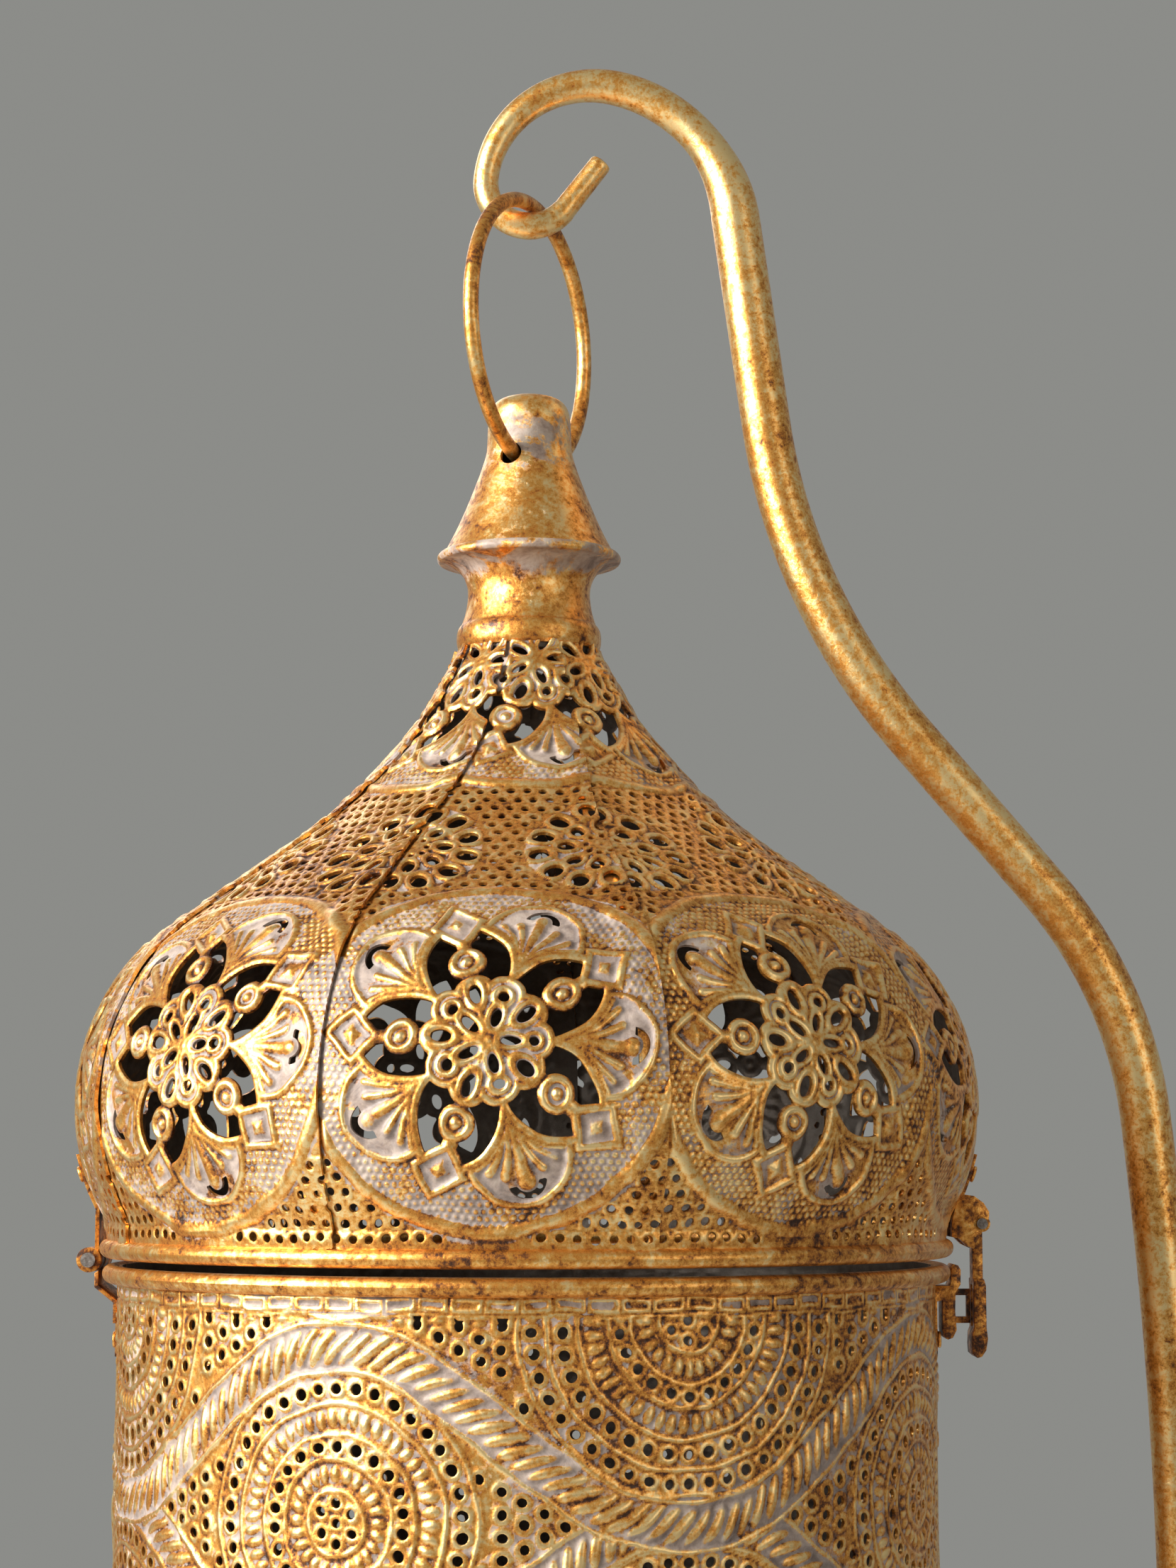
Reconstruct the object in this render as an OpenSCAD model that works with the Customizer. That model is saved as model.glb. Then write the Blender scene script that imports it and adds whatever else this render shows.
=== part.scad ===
// Floor-standing lantern: a weighted base and a bent pole carry a pierced
// candle lantern, which hangs from a wire ring and opens at its waist.
// Origin: middle of the base on the floor. +Z up, -Y front, pole at +X.

/* [Stand] */
// Radius of the weighted base plate
base_r = 160; // [140:1:200]
// Thickness of the base plate where the pole stands
base_t = 16; // [14:1:30]
// Distance from the pole's axis to the edge of the base plate
pole_inset = 46; // [35:1:70]
// Thickness of the felt pad under the base plate
pad_h = 3; // [2:0.5:6]
// Distance from the felt pad's edge to the plate's edge
pad_margin = 8; // [4:1:16]
// Outer radius of the pole tube
pole_r = 8; // [6.5:0.5:10]
// Wall of the pole tube
pole_wall = 1.5; // [1:0.1:2.5]
// Height of the collar at the foot of the pole
pole_collar_h = 30; // [20:1:60]
// Height of the joint between the two pole tubes
joint_h = 820; // [500:10:860]
// Length of the ferrule that covers the joint
ferrule_h = 36; // [26:1:60]
// Length of the spigot inside the joint
spigot_len = 90; // [60:5:140]
// Radius of the base bolt's shank
bolt_r = 4; // [3:0.5:5]

/* [Crook] */
// Radius of the long gentle bend above the joint
gentle_bend_r = 1500; // [1200:50:1800]
// Turn of the gentle bend, in degrees
gentle_turn = 6.2; // [5:0.1:8]
// Radius of the outward shoulder bend
shoulder_bend_r = 135; // [110:1:160]
// Turn of the shoulder bend, in degrees
shoulder_turn = 34.2; // [30:0.1:38]
// Length of the straight between the two large bends
slope_len = 65; // [50:1:80]
// Radius of the bend that brings the tube upright again
upright_bend_r = 202; // [180:1:220]
// Turn of the upright bend, in degrees
upright_turn = 32.5; // [30:0.1:35]
// Length of the straight below the hook
neck_len = 72; // [50:1:80]

/* [Hook] */
// Radius of the hook's right-hand shoulder
hook_shoulder_r = 51.7; // [46:0.1:58]
// Turn of the hook's shoulder, in degrees
hook_shoulder_turn = 68; // [62:0.1:74]
// Radius of the hook's crest
hook_crest_r = 35.4; // [32:0.1:39]
// Turn of the hook's crest, in degrees
hook_crest_turn = 98.7; // [93:0.1:104]
// Radius of the hook's bowl, where the ring hangs
hook_bowl_r = 14.6; // [13.6:0.1:17]
// Turn of the hook's bowl, in degrees
hook_bowl_turn = 148; // [138:1:170]
// Length of the straight tip beyond the bowl
hook_tip_len = 18; // [8:0.5:26]
// Radius of the bar where the taper has settled
hook_neck_bar_r = 6.2; // [5.5:0.1:6.4]
// Radius of the bar in the bowl
hook_bowl_bar_r = 4.5; // [3.5:0.1:5.2]
// Radius of the bar at its tip
hook_tip_bar_r = 3.4; // [2.5:0.1:4]

/* [Ring] */
// Radius of the hanging ring, to the middle of its wire
ring_r = 44; // [42:0.5:50]
// Radius of the ring's wire
ring_wire_r = 2.5; // [2:0.1:3]
// Angle of the ring's plane from the hook's plane, in degrees
ring_yaw = 66; // [50:1:80]

/* [Lantern] */
// Height of the dome's rim above the floor
rim_h = 1060; // [1000:5:1250]
// Radius of the dome's rim wire, to the middle of the wire
rim_r = 132; // [128:0.5:136]
// Radius of the wire in all three rims
rim_wire_r = 2.8; // [2.4:0.1:3.2]
// Thickness of the dome's and the drum's sheet
sheet_t = 0.9; // [0.7:0.1:1.2]
// Distance between the two rim wires that meet at the waist
rim_pitch = 7.8; // [7.4:0.1:9]

/* [Dome] */
// Largest radius of the dome
dome_r = 143.5; // [140:0.5:146]
// Radius of the dome's bulge, seen from the side
bulge_r = 70; // [66:0.5:74]
// Height of the dome's widest circle above its rim
bulge_h = 45; // [43:0.5:48]
// Length of the straight flank above the bulge
flank_len = 38; // [34:1:42]
// Width of a gore's lap over its neighbour, in degrees
lap_turn = 1.6; // [1:0.1:2.5]
// Radius of the ten light openings in a gore's medallion
leaf_hole_r = 5.2; // [3:0.1:5.6]
// Radius of the middle light opening in a gore
flower_hole_r = 3; // [2:0.1:4]
// Radius of the petal openings of the rosettes on a gore's flank
petal_hole_r = 2.4; // [1.6:0.1:2.8]

/* [Cap] */
// Height of the collar between the dome and the cap
collar_h = 30.7; // [28:0.1:34]
// Radius of the collar's lower bead
collar_bead_r = 23.4; // [23:0.1:25]
// Radius of the collar's waist
collar_waist_r = 19.9; // [19:0.1:20.8]
// Radius of the cap's skirt
skirt_r = 28.6; // [27:0.1:31]
// Height of the cap's conical skirt
skirt_h = 34.3; // [32:0.1:38]
// Radius of the cap's neck
neck_r = 13.7; // [13:0.1:15]
// Height of the cap's neck
neck_h = 12.5; // [11:0.5:16]
// Height of the cap's rounded top
crown_h = 7.5; // [6:0.5:10]
// Thickness of the cap's and the collar's sheet
cap_t = 1.2; // [1:0.1:1.5]
// Radius of the two holes that the ring passes through
ring_hole_r = 3.7; // [3.5:0.1:4]

/* [Drum] */
// Height of the drum below the dome's rim
drum_h = 300; // [240:5:380]
// Outer radius of the drum's sheet
drum_r = 128.5; // [127.5:0.5:130]
// Vertical distance between two rows of roundels
roundel_pitch = 55.5; // [52:0.5:60]
// Radius of the light holes at the middle of a roundel
roundel_hole_r = 1.8; // [1:0.1:2.4]
// Radius of the circle that those light holes lie on
roundel_hole_circle_r = 6; // [5:0.5:9]
// Radius of a vent hole in the floor pan
vent_r = 4.5; // [3:0.5:8]

/* [Hinge and hasp] */
// Width of the hinge
hinge_w = 24; // [20:1:32]
// Outer radius of a hinge knuckle
knuckle_r = 3.9; // [3.5:0.1:4.1]
// Radius of the hinge pin
hinge_pin_r = 1.5; // [1:0.1:2]
// Thickness of the hinge leaves and the hasp's plates
leaf_t = 1.2; // [1:0.1:1.4]
// Length of the hasp below its pin
hasp_len = 42; // [40:1:46]
// Width of the hasp
hasp_w = 14; // [12:1:18]
// Radius of the hasp's pin
hasp_pin_r = 1; // [0.8:0.1:1.3]
// Radius of the small rivets
rivet_r = 1.4; // [1:0.1:1.8]

/* [Candle] */
// Radius of the pillar candle
candle_r = 30; // [20:1:40]
// Height of the pillar candle
candle_h = 95; // [60:5:150]
// Radius of the drip tray's floor
tray_r = 44; // [42:1:60]
// Length of the spike that holds the candle
spike_len = 24; // [16:1:30]

/* [Fits] */
// Running clearance of a pin in a turning knuckle
running_gap = 0.06; // [0.03:0.01:0.1]
// Clearance between pieces that pass each other
free_gap = 0.3; // [0.2:0.05:0.5]

/* [Hidden] */
$fn = 64;

gold = "#b58e44";
dark_gold = "#8c6a30";
pale_gold = "#c9a860";
iron = "#4a3c2a";
tin = "#9a948a";

// Stand
pole_x = base_r - pole_inset;
pole_bore_r = pole_r - pole_wall;
plate_z = pad_h;                         // underside of the base plate
base_top = plate_z + base_t;
edge_h = 6;                              // height of the base plate at its edge
edge_round = 2;
recess_r = 13;                           // recess under the plate for the bolt's head
washer_r = 11;
washer_t = 1.6;
bolt_head_r = 7.5;
bolt_head_h = 5.3;
recess_top = plate_z + 9;
bolt_grip = 22;                          // length of thread in the plug
plug_len = 32;
pole_collar_r = pole_r + 14;
ferrule_r = pole_r + 3;
ferrule_screw_r = 2;

// Crook: a chain of bends, each [radius, turn toward the lantern], or
// [length, 0] for a straight. A place on the chain is [x, z, lean].
crook_path = [[gentle_bend_r, gentle_turn],
              [shoulder_bend_r, shoulder_turn],
              [slope_len, 0],
              [upright_bend_r, -upright_turn],
              [neck_len, 0]];
hook_path = [[hook_shoulder_r, hook_shoulder_turn],
             [hook_crest_r, hook_crest_turn],
             [hook_bowl_r, hook_bowl_turn]];
full_path = concat(crook_path, hook_path);
crook_count = len(crook_path);

function bend_centre(p, bend) =
    let (side = sign(bend[1]))
    [p[0] - side * bend[0] * cos(p[2]), p[1] - side * bend[0] * sin(p[2])];
function path_end(p, bend) =
    bend[1] == 0
    ? [p[0] - bend[0] * sin(p[2]), p[1] + bend[0] * cos(p[2]), p[2]]
    : let (side = sign(bend[1]), c = bend_centre(p, bend), lean = p[2] + bend[1])
      [c[0] + side * bend[0] * cos(lean), c[1] + side * bend[0] * sin(lean), lean];
function path_at(start, path, i) =
    i == 0 ? start : path_end(path_at(start, path, i - 1), path[i - 1]);
function path_len(bend) =
    bend[1] == 0 ? bend[0] : bend[0] * abs(bend[1]) * PI / 180;

// The chain is walked once from zero to find where the bowl's lowest point
// lies, and then placed so that the ring hangs over the lantern's axis.
bowl_index = len(full_path) - 1;
bowl_start_0 = path_at([0, 0, 0], full_path, bowl_index);
bowl_centre_0 = bend_centre(bowl_start_0, full_path[bowl_index]);
reach = -bowl_centre_0[0];
bowl_rise = bowl_centre_0[1] - hook_bowl_r;
lantern_x = pole_x - reach;

// Dome profile: bulge, straight flank, then a hollow curve up to the neck
bulge_low = -32;
bulge_high = 55;
throat_r = 203;
throat_steps = 5;
bead_over = 0.244568;                    // how far the collar's bead stands out past the dome
dome_end_r = collar_bead_r - bead_over;
arc_step = 6;
function bulge_point(phi, depth) =
    [dome_r - bulge_r + (bulge_r - depth) * cos(phi), bulge_h + (bulge_r - depth) * sin(phi)];
flank_top = bulge_point(bulge_high, 0) + flank_len * [-sin(bulge_high), cos(bulge_high)];
throat_centre = flank_top + throat_r * [cos(bulge_high), sin(bulge_high)];
// The hollow curve turns until it reaches the collar
throat_turn = bulge_high - acos(cos(bulge_high) + (flank_top[0] - dome_end_r) / throat_r);
function throat_point(a, depth) =
    throat_centre - (throat_r + depth) * [cos(a), sin(a)];
profile_end = throat_point(bulge_high - throat_turn, 0);
lip_step = 0.66;                         // how far the lip steps in under the collar
dome_lip_r = profile_end[0] - lip_step;
function dome_side(depth, low, high, steps) = concat(
    [for (phi = [low : arc_step : high - 1]) bulge_point(phi, depth)],
    [bulge_point(high, depth)],
    [for (k = [0 : steps]) throat_point(bulge_high - throat_turn * k / throat_steps, depth)]);
function backward(list) = [for (i = [len(list) - 1 : -1 : 0]) list[i]];
skin_depth_r = rim_r * 0.76;             // inner radius of the dome's outer face as a solid
gore_turn = 40;                          // nine gores make the dome
gore_first = -113;                       // angle where the front gore starts
function gore_start(i) = gore_first + gore_turn * (i - 1);

// Heights above the dome's rim
dome_top = profile_end[1] + 2.6;
collar_top = dome_top + collar_h;
neck_base = collar_top + skirt_h;
ring_cross = 13;                         // where the wire crosses the neck's wall
ring_dip = sqrt(ring_r * ring_r - ring_cross * ring_cross);
ring_cross_h = neck_base - 0.9;
ring_hole_h = ring_cross_h - (ring_hole_r - ring_wire_r - free_gap);
ring_centre_h = ring_cross_h + ring_dip;
ring_seat_h = ring_centre_h + ring_r;
bowl_h = ring_seat_h - ring_wire_r - free_gap - hook_bowl_bar_r;
crook_start = [pole_x, rim_h + bowl_h - bowl_rise, 0];

// Medallion on a gore: its middle on the bulge, and its ring of openings
medallion_phi = 12;
medallion_turn = 19.5;                   // from the gore's free edge
leaf_circle_r = 26.5;
leaf_count = 10;
leaf_first = 33.5;

// Half rosettes on a gore's flank, one by each seam
rosette_across = 28.5;                   // from the gore's middle to a rosette's
rosette_up = 30.7;                       // from the foot of the flank
rosette_stretch = 1.12;                  // height of a rosette to its width
petal_circle_r = 18.2;
petal_step = 30;
inner_circle_r = 10.2;
inner_step = 45;
inner_hole_r = 1.8;

// Drum
drum_bore_r = drum_r - sheet_t;
drum_rim_r = drum_r + 2.5;
drum_top = -rim_pitch + 2.3;
drum_bottom = -drum_h - 2.3;
row_1_h = -17.4;
roundel_first = -68.3;                   // angle of a roundel in the first row
strip_turn = 3;
strip_t = 0.9;
pan_t = 1;
pan_wall_h = 10;
pan_floor = -drum_h;
vent_count = 8;
vent_circle_r = 84;
tray_t = 1;
tray_rim_h = 8;
tray_spread = 6;
spike_r = 2.9;
spike_tip_r = 0.4;
spike_flange_r = 7;
spike_flange_t = 1.5;
candle_floor = pan_floor + tray_t + spike_flange_t;
wick_r = 0.8;
wick_sink = 20;
wick_rise = 9;

// Hinge at the left of the waist, hasp at the right
hinge_x = -(rim_r + rim_wire_r + 3);
hinge_h = -rim_pitch / 2;
middle_knuckle = hinge_w * 0.38;
leaf_angle = hinge_w / dome_r * 180 / PI;
leaf_r = rim_r + rim_wire_r + 0.5;
leaf_low_phi = -28;
leaf_high_phi = -13;
drum_leaf_low = -34;
hasp_x = dome_r + 0.3;
hasp_h = 7.3;
hasp_knuckle_r = 2.6;
hasp_knuckle_w = 8;
hasp_in = hasp_x - hasp_knuckle_r;       // inner face of the hasp
hasp_arm_t = 3.2;
hasp_plate_t = 3.8;
hasp_arm_h = 18;                         // from the pin down to the wide plate
slot_w = 5;
slot_play = 1.3;                         // above and below the eye
staple_w = 13;
staple_pass = drum_rim_r + rim_wire_r + free_gap;   // past the rim wire
staple_face = staple_pass + 1.3;         // outer face of the staple's leg
staple_low = -29;
eye_mid = -18.7;
eye_h = 10.7;
eye_w = 3;
eye_wall = 2;
eye_tip_wall = 1.2;
eye_tip = hasp_in - 2 * free_gap;
bracket_w = hasp_knuckle_w + 9;
bracket_arch_h = 16.4;
bracket_foot = dome_r - 9.2;             // inner end of the bracket's cheeks
rivet_head_r = 2.6;
rivet_head_h = 1;
rivet_lift = 0.15;

module at_lantern() {
    translate([lantern_x, 0, rim_h]) children();
}

module wire_ring(r, wire_r) {
    rotate_extrude($fn = 128) translate([r, 0]) circle(r = wire_r, $fn = 32);
}

module tube(outer, bore, h) {
    difference() {
        cylinder(r = outer, h = h);
        translate([0, 0, -1]) cylinder(r = bore, h = h + 2);
    }
}

// A rivet stands on a surface with its axis along +Z at the surface point
module rivet(grip) {
    translate([0, 0, rivet_lift]) cylinder(r = rivet_head_r, h = rivet_head_h, $fn = 24);
    translate([0, 0, -grip]) cylinder(r = rivet_r, h = grip + rivet_lift, $fn = 24);
    translate([0, 0, -grip - rivet_head_h]) cylinder(r = rivet_head_r, h = rivet_head_h, $fn = 24);
}

module rivet_bore() {
    translate([0, 0, -8]) cylinder(r = rivet_r, h = 16, $fn = 24);
}

module on_dome(angle, phi, depth) {
    p = bulge_point(phi, depth);
    rotate([0, 0, angle]) translate([p[0], 0, p[1]]) rotate([0, 90 - phi, 0]) children();
}

// A place in a rosette: turn and distance about the rosette's middle
module on_flank(middle, side, circle_r, turn) {
    across = rosette_across + circle_r * cos(turn);
    up = rosette_up + circle_r * rosette_stretch * sin(turn);
    p = bulge_point(bulge_high, 0) + up * [-sin(bulge_high), cos(bulge_high)];
    rotate([0, 0, middle + side * across / p[0] * 180 / PI]) translate([p[0], 0, p[1]])
        rotate([0, 90 - bulge_high, 0]) children();
}

module on_drum(angle, h, r) {
    rotate([0, 0, angle]) translate([r, 0, h]) rotate([0, 90, 0]) children();
}

// ---- Stand ----

module base_plate() {
    color(dark_gold) difference() {
        rotate_extrude($fn = 128) polygon([
            [0, plate_z], [base_r - edge_round, plate_z], [base_r, plate_z + edge_round],
            [base_r, plate_z + edge_h - edge_round], [base_r - edge_round, plate_z + edge_h],
            [base_r - 10, plate_z + edge_h + 0.8], [base_r - 12, plate_z + edge_h + 2.4],
            [base_r - 16, base_top - 1.5], [base_r - 20, base_top], [0, base_top]]);
        translate([pole_x, 0, plate_z - 1]) cylinder(r = recess_r, h = recess_top - plate_z + 1);
        translate([pole_x, 0, 0]) cylinder(r = bolt_r + 0.4, h = base_top + 1);
    }
}

module felt_pad() {
    color("#2a2622") difference() {
        cylinder(r = base_r - pad_margin, h = plate_z, $fn = 128);
        translate([pole_x, 0, -1]) cylinder(r = recess_r, h = plate_z + 2);
    }
}

module pole_collar() {
    color(gold) translate([pole_x, 0, base_top]) rotate_extrude() polygon([
        [pole_r, 0], [pole_collar_r, 0], [pole_collar_r, 3], [pole_collar_r - 2, 4.5],
        [pole_r + 7, 6], [pole_r + 4.5, 10], [pole_r + 3.4, pole_collar_h - 8],
        [pole_r + 4.6, pole_collar_h - 6], [pole_r + 4.6, pole_collar_h - 3],
        [pole_r + 2.4, pole_collar_h], [pole_r, pole_collar_h]]);
}

module pole_plug() {
    color(iron) translate([pole_x, 0, base_top]) tube(pole_bore_r, bolt_r, plug_len);
}

module base_bolt() {
    color(iron) translate([pole_x, 0, recess_top - washer_t]) {
        translate([0, 0, -bolt_head_h]) cylinder(r = bolt_head_r, h = bolt_head_h, $fn = 6);
        cylinder(r = bolt_r, h = base_top + bolt_grip - recess_top + washer_t);
    }
}

module base_washer() {
    color(tin) translate([pole_x, 0, recess_top - washer_t]) tube(washer_r, bolt_r, washer_t);
}

module lower_pole() {
    color(gold) translate([pole_x, 0, base_top]) tube(pole_r, pole_bore_r, joint_h - base_top);
}

module joint_spigot() {
    color(iron) translate([pole_x, 0, joint_h - spigot_len / 2]) cylinder(r = pole_bore_r, h = spigot_len);
}

module joint_ferrule() {
    color(pale_gold) difference() {
        translate([pole_x, 0, joint_h - ferrule_h / 2]) rotate_extrude() polygon([
            [pole_r, 0], [ferrule_r - 1, 0], [ferrule_r + 1.2, 1.5], [ferrule_r + 1.2, 3.5],
            [ferrule_r, 5], [ferrule_r, ferrule_h - 5], [ferrule_r + 1.2, ferrule_h - 3.5],
            [ferrule_r + 1.2, ferrule_h - 1.5], [ferrule_r - 1, ferrule_h], [pole_r, ferrule_h]]);
        for (side = [-1, 1]) {
            translate([pole_x, 0, joint_h + side * ferrule_h / 4]) rotate([-90, 0, 0])
                cylinder(r = ferrule_screw_r, h = ferrule_r + 2, $fn = 24);
        }
    }
}

module ferrule_screws() {
    color(iron) for (side = [-1, 1]) {
        difference() {
            translate([pole_x, pole_r + 0.02, joint_h + side * ferrule_h / 4]) rotate([-90, 0, 0])
                cylinder(r = ferrule_screw_r, h = ferrule_r - pole_r - 0.4, $fn = 24);
            translate([pole_x, ferrule_r - 1.5, joint_h + side * ferrule_h / 4]) rotate([-90, 0, 0])
                cylinder(r = 1.1, h = 3, $fn = 6);
        }
    }
}

// The crook is one swept tube from the joint up. A station is a place on the
// chain, and then the outer and the inner radius there. The bore's flats lie
// on the spigot, so its corners stand a little further out.
sweep_sides = 32;
crook_step = 6;                          // degrees of turn between two rings
tube_radii = [pole_r, pole_bore_r / cos(180 / sweep_sides)];
function piece_stations(i) =
    let (p = path_at(crook_start, full_path, i), bend = full_path[i], turn = bend[1],
         count = turn == 0 ? 1 : ceil(abs(turn) / crook_step))
    [for (k = [1 : count])
        concat(path_end(p, turn == 0 ? bend : [bend[0], turn * k / count]), tube_radii)];
crook_stations = concat(
    [concat([pole_x, joint_h, 0], tube_radii), concat(crook_start, tube_radii)],
    [for (i = [0 : crook_count - 1], st = piece_stations(i)) st]);
function swept_ring(st, r) = [for (k = [0 : sweep_sides - 1])
    let (a = 360 * k / sweep_sides)
    [st[0] + r * cos(a) * cos(st[2]), r * sin(a), st[1] + r * cos(a) * sin(st[2])]];
function next_side(k) = (k + 1) % sweep_sides;

module swept_tube(stations) {
    n = sweep_sides;
    last = (len(stations) - 1) * n;
    bore = len(stations) * n;
    points = concat([for (st = stations, p = swept_ring(st, st[3])) p],
                    [for (st = stations, p = swept_ring(st, st[4])) p]);
    wall = [for (i = [0 : len(stations) - 2], k = [0 : n - 1])
        [i * n + k, (i + 1) * n + k, (i + 1) * n + next_side(k), i * n + next_side(k)]];
    inside = [for (f = wall) [bore + f[3], bore + f[2], bore + f[1], bore + f[0]]];
    foot = [for (k = [0 : n - 1]) [k, next_side(k), bore + next_side(k), bore + k]];
    end = [for (k = [0 : n - 1])
        [last + next_side(k), last + k, bore + last + k, bore + last + next_side(k)]];
    polyhedron(points, concat(wall, inside, foot, end), convexity = 6);
}

module crook() {
    color(gold) swept_tube(crook_stations);
}

// The tapered hook is swept along its three bends and its straight tip
hook_step = 8;                           // degrees of turn between two rings
hook_starts = [for (i = [0 : len(hook_path) - 1]) path_at(crook_start, full_path, crook_count + i)];
hook_lens = [for (bend = hook_path) path_len(bend)];
bowl_end_len = hook_lens[0] + hook_lens[1] + hook_lens[2];
hook_len = bowl_end_len + hook_tip_len;
taper_len = 25;
bowl_low_len = hook_lens[0] + hook_lens[1]
    + hook_bowl_r * (270 - hook_starts[2][2]) * PI / 180;
hook_crest_len = hook_lens[0];
function hook_bar_r(s) = lookup(s, [
    [0, pole_r], [taper_len, hook_neck_bar_r], [hook_crest_len, hook_neck_bar_r - 0.5],
    [bowl_low_len - 28, hook_bowl_bar_r - 0.4], [bowl_low_len, hook_bowl_bar_r],
    [hook_len, hook_tip_bar_r]]);
function bend_stations(i, s0) =
    let (bend = hook_path[i], count = ceil(bend[1] / hook_step), p = hook_starts[i])
    [for (k = [(i == 0 ? 0 : 1) : count])
        concat(path_end(p, [bend[0], max(0.001, bend[1] * k / count)]),
               [hook_bar_r(s0 + hook_lens[i] * k / count)])];
hook_body = concat(bend_stations(0, 0), bend_stations(1, hook_lens[0]),
                   bend_stations(2, hook_lens[0] + hook_lens[1]));
bowl_end = path_end(hook_starts[2], hook_path[2]);
hook_end = concat(path_end(bowl_end, [hook_tip_len, 0]), [hook_tip_bar_r]);
hook_nose = [for (a = [30, 55, 78])
    let (along = hook_tip_bar_r * sin(a))
    [hook_end[0] - along * sin(hook_end[2]), hook_end[1] + along * cos(hook_end[2]),
     hook_end[2], hook_tip_bar_r * cos(a)]];
hook_stations = concat(hook_body, [hook_end], hook_nose);
module hook() {
    n = sweep_sides;
    last = (len(hook_stations) - 1) * n;
    points = [for (st = hook_stations, p = swept_ring(st, st[3])) p];
    wall = [for (i = [0 : len(hook_stations) - 2], k = [0 : n - 1])
        [i * n + k, (i + 1) * n + k, (i + 1) * n + next_side(k), i * n + next_side(k)]];
    foot = [for (k = [0 : n - 1]) k];
    nose = [for (k = [n - 1 : -1 : 0]) last + k];
    color(gold) polyhedron(points, concat(wall, [foot], [nose]), convexity = 8);
}

// ---- Ring ----

module hanging_ring() {
    color(pale_gold) at_lantern() translate([0, 0, ring_centre_h])
        rotate([0, 0, ring_yaw]) rotate([90, 0, 0]) wire_ring(ring_r, ring_wire_r);
}

// ---- Lid: cap, collar and dome ----

function crown_side(depth) = [for (a = [0 : 15 : 75])
    [neck_r - 1.3 - 7 + (7 - depth) * cos(a), neck_base + neck_h + (crown_h - depth) * sin(a)]];

module cap() {
    crown_top = neck_base + neck_h + crown_h;
    color(gold) at_lantern() difference() {
        rotate_extrude($fn = 96) polygon(concat(
            [[skirt_r - cap_t, collar_top], [skirt_r, collar_top], [neck_r, neck_base]],
            crown_side(0), [[0, crown_top], [0, crown_top - cap_t]],
            backward(crown_side(cap_t)), [[neck_r - cap_t, neck_base - 0.5]]));
        translate([0, 0, ring_hole_h]) rotate([0, 0, ring_yaw]) rotate([0, 90, 0])
            translate([0, 0, -neck_r * 2]) cylinder(r = ring_hole_r, h = neck_r * 4, $fn = 48);
    }
}

function cove(end_r, low, high, depth, up) = [for (v = [0 : 0.2 : 1])
    let (w = up ? v : 1 - v)
    [collar_waist_r - depth + (end_r - collar_waist_r) * w * w, low + (high - low) * v]];

module collar() {
    bead_h = dome_top + 5;
    waist_low = dome_top + 18;
    waist_high = dome_top + 21;
    flange = collar_top - 1.2;
    color(dark_gold) at_lantern() rotate_extrude($fn = 96) polygon(concat(
        [[dome_lip_r - sheet_t, dome_top], [dome_lip_r + 0.3, dome_top]],
        [[collar_bead_r - 0.3, dome_top + 1.6], [collar_bead_r, dome_top + 3.2]],
        cove(collar_bead_r, bead_h, waist_low, 0, false),
        cove(skirt_r - 1, waist_high, flange - 0.6, 0, true),
        [[skirt_r + 0.8, flange], [skirt_r + 1.4, flange + 1], [skirt_r + 1.2, flange + 2.2],
         [skirt_r + 0.6, collar_top + 1.6], [skirt_r, collar_top + 1.4], [skirt_r, collar_top],
         [skirt_r - 2.2, collar_top]],
        backward(cove(skirt_r - 3, waist_high, flange, cap_t, true)),
        backward(cove(collar_bead_r, bead_h, waist_low, cap_t, false)),
        [[dome_lip_r - sheet_t, dome_top + 4.4]]));
}

module crown_ring() {
    color(tin) at_lantern() translate([0, 0, dome_top - 1.6])
        tube(dome_lip_r - sheet_t, dome_lip_r - sheet_t - 1, 6);
}

module gore_body() {
    rotate_extrude(angle = gore_turn, $fn = 128) polygon(concat(
        [[rim_r + sheet_t / 2, 2], [rim_r + sheet_t / 2, 5]],
        dome_side(0, bulge_low, bulge_high, throat_steps),
        [[dome_lip_r, dome_top], [dome_lip_r - sheet_t, dome_top]],
        backward(dome_side(sheet_t, bulge_low, bulge_high, throat_steps)),
        [[rim_r - sheet_t / 2, 5], [rim_r - sheet_t / 2, 2]]));
}

module gore_lap() {
    rotate_extrude(angle = 2 * lap_turn, start = gore_turn - lap_turn, $fn = 128) polygon(concat(
        dome_side(0, bulge_low + arc_step, bulge_high, throat_steps - 1),
        backward(dome_side(-sheet_t, bulge_low + arc_step, bulge_high, throat_steps - 1))));
}

module rosette_openings(middle) {
    for (side = [-1, 1]) {
        for (turn = [135 : petal_step : 255]) {
            on_flank(middle, side, petal_circle_r, turn) translate([0, 0, -6])
                cylinder(r = petal_hole_r, h = 12, $fn = 24);
        }
        for (turn = [135 : inner_step : 225]) {
            on_flank(middle, side, inner_circle_r, turn) translate([0, 0, -6])
                cylinder(r = inner_hole_r, h = 12, $fn = 24);
        }
    }
}

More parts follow.
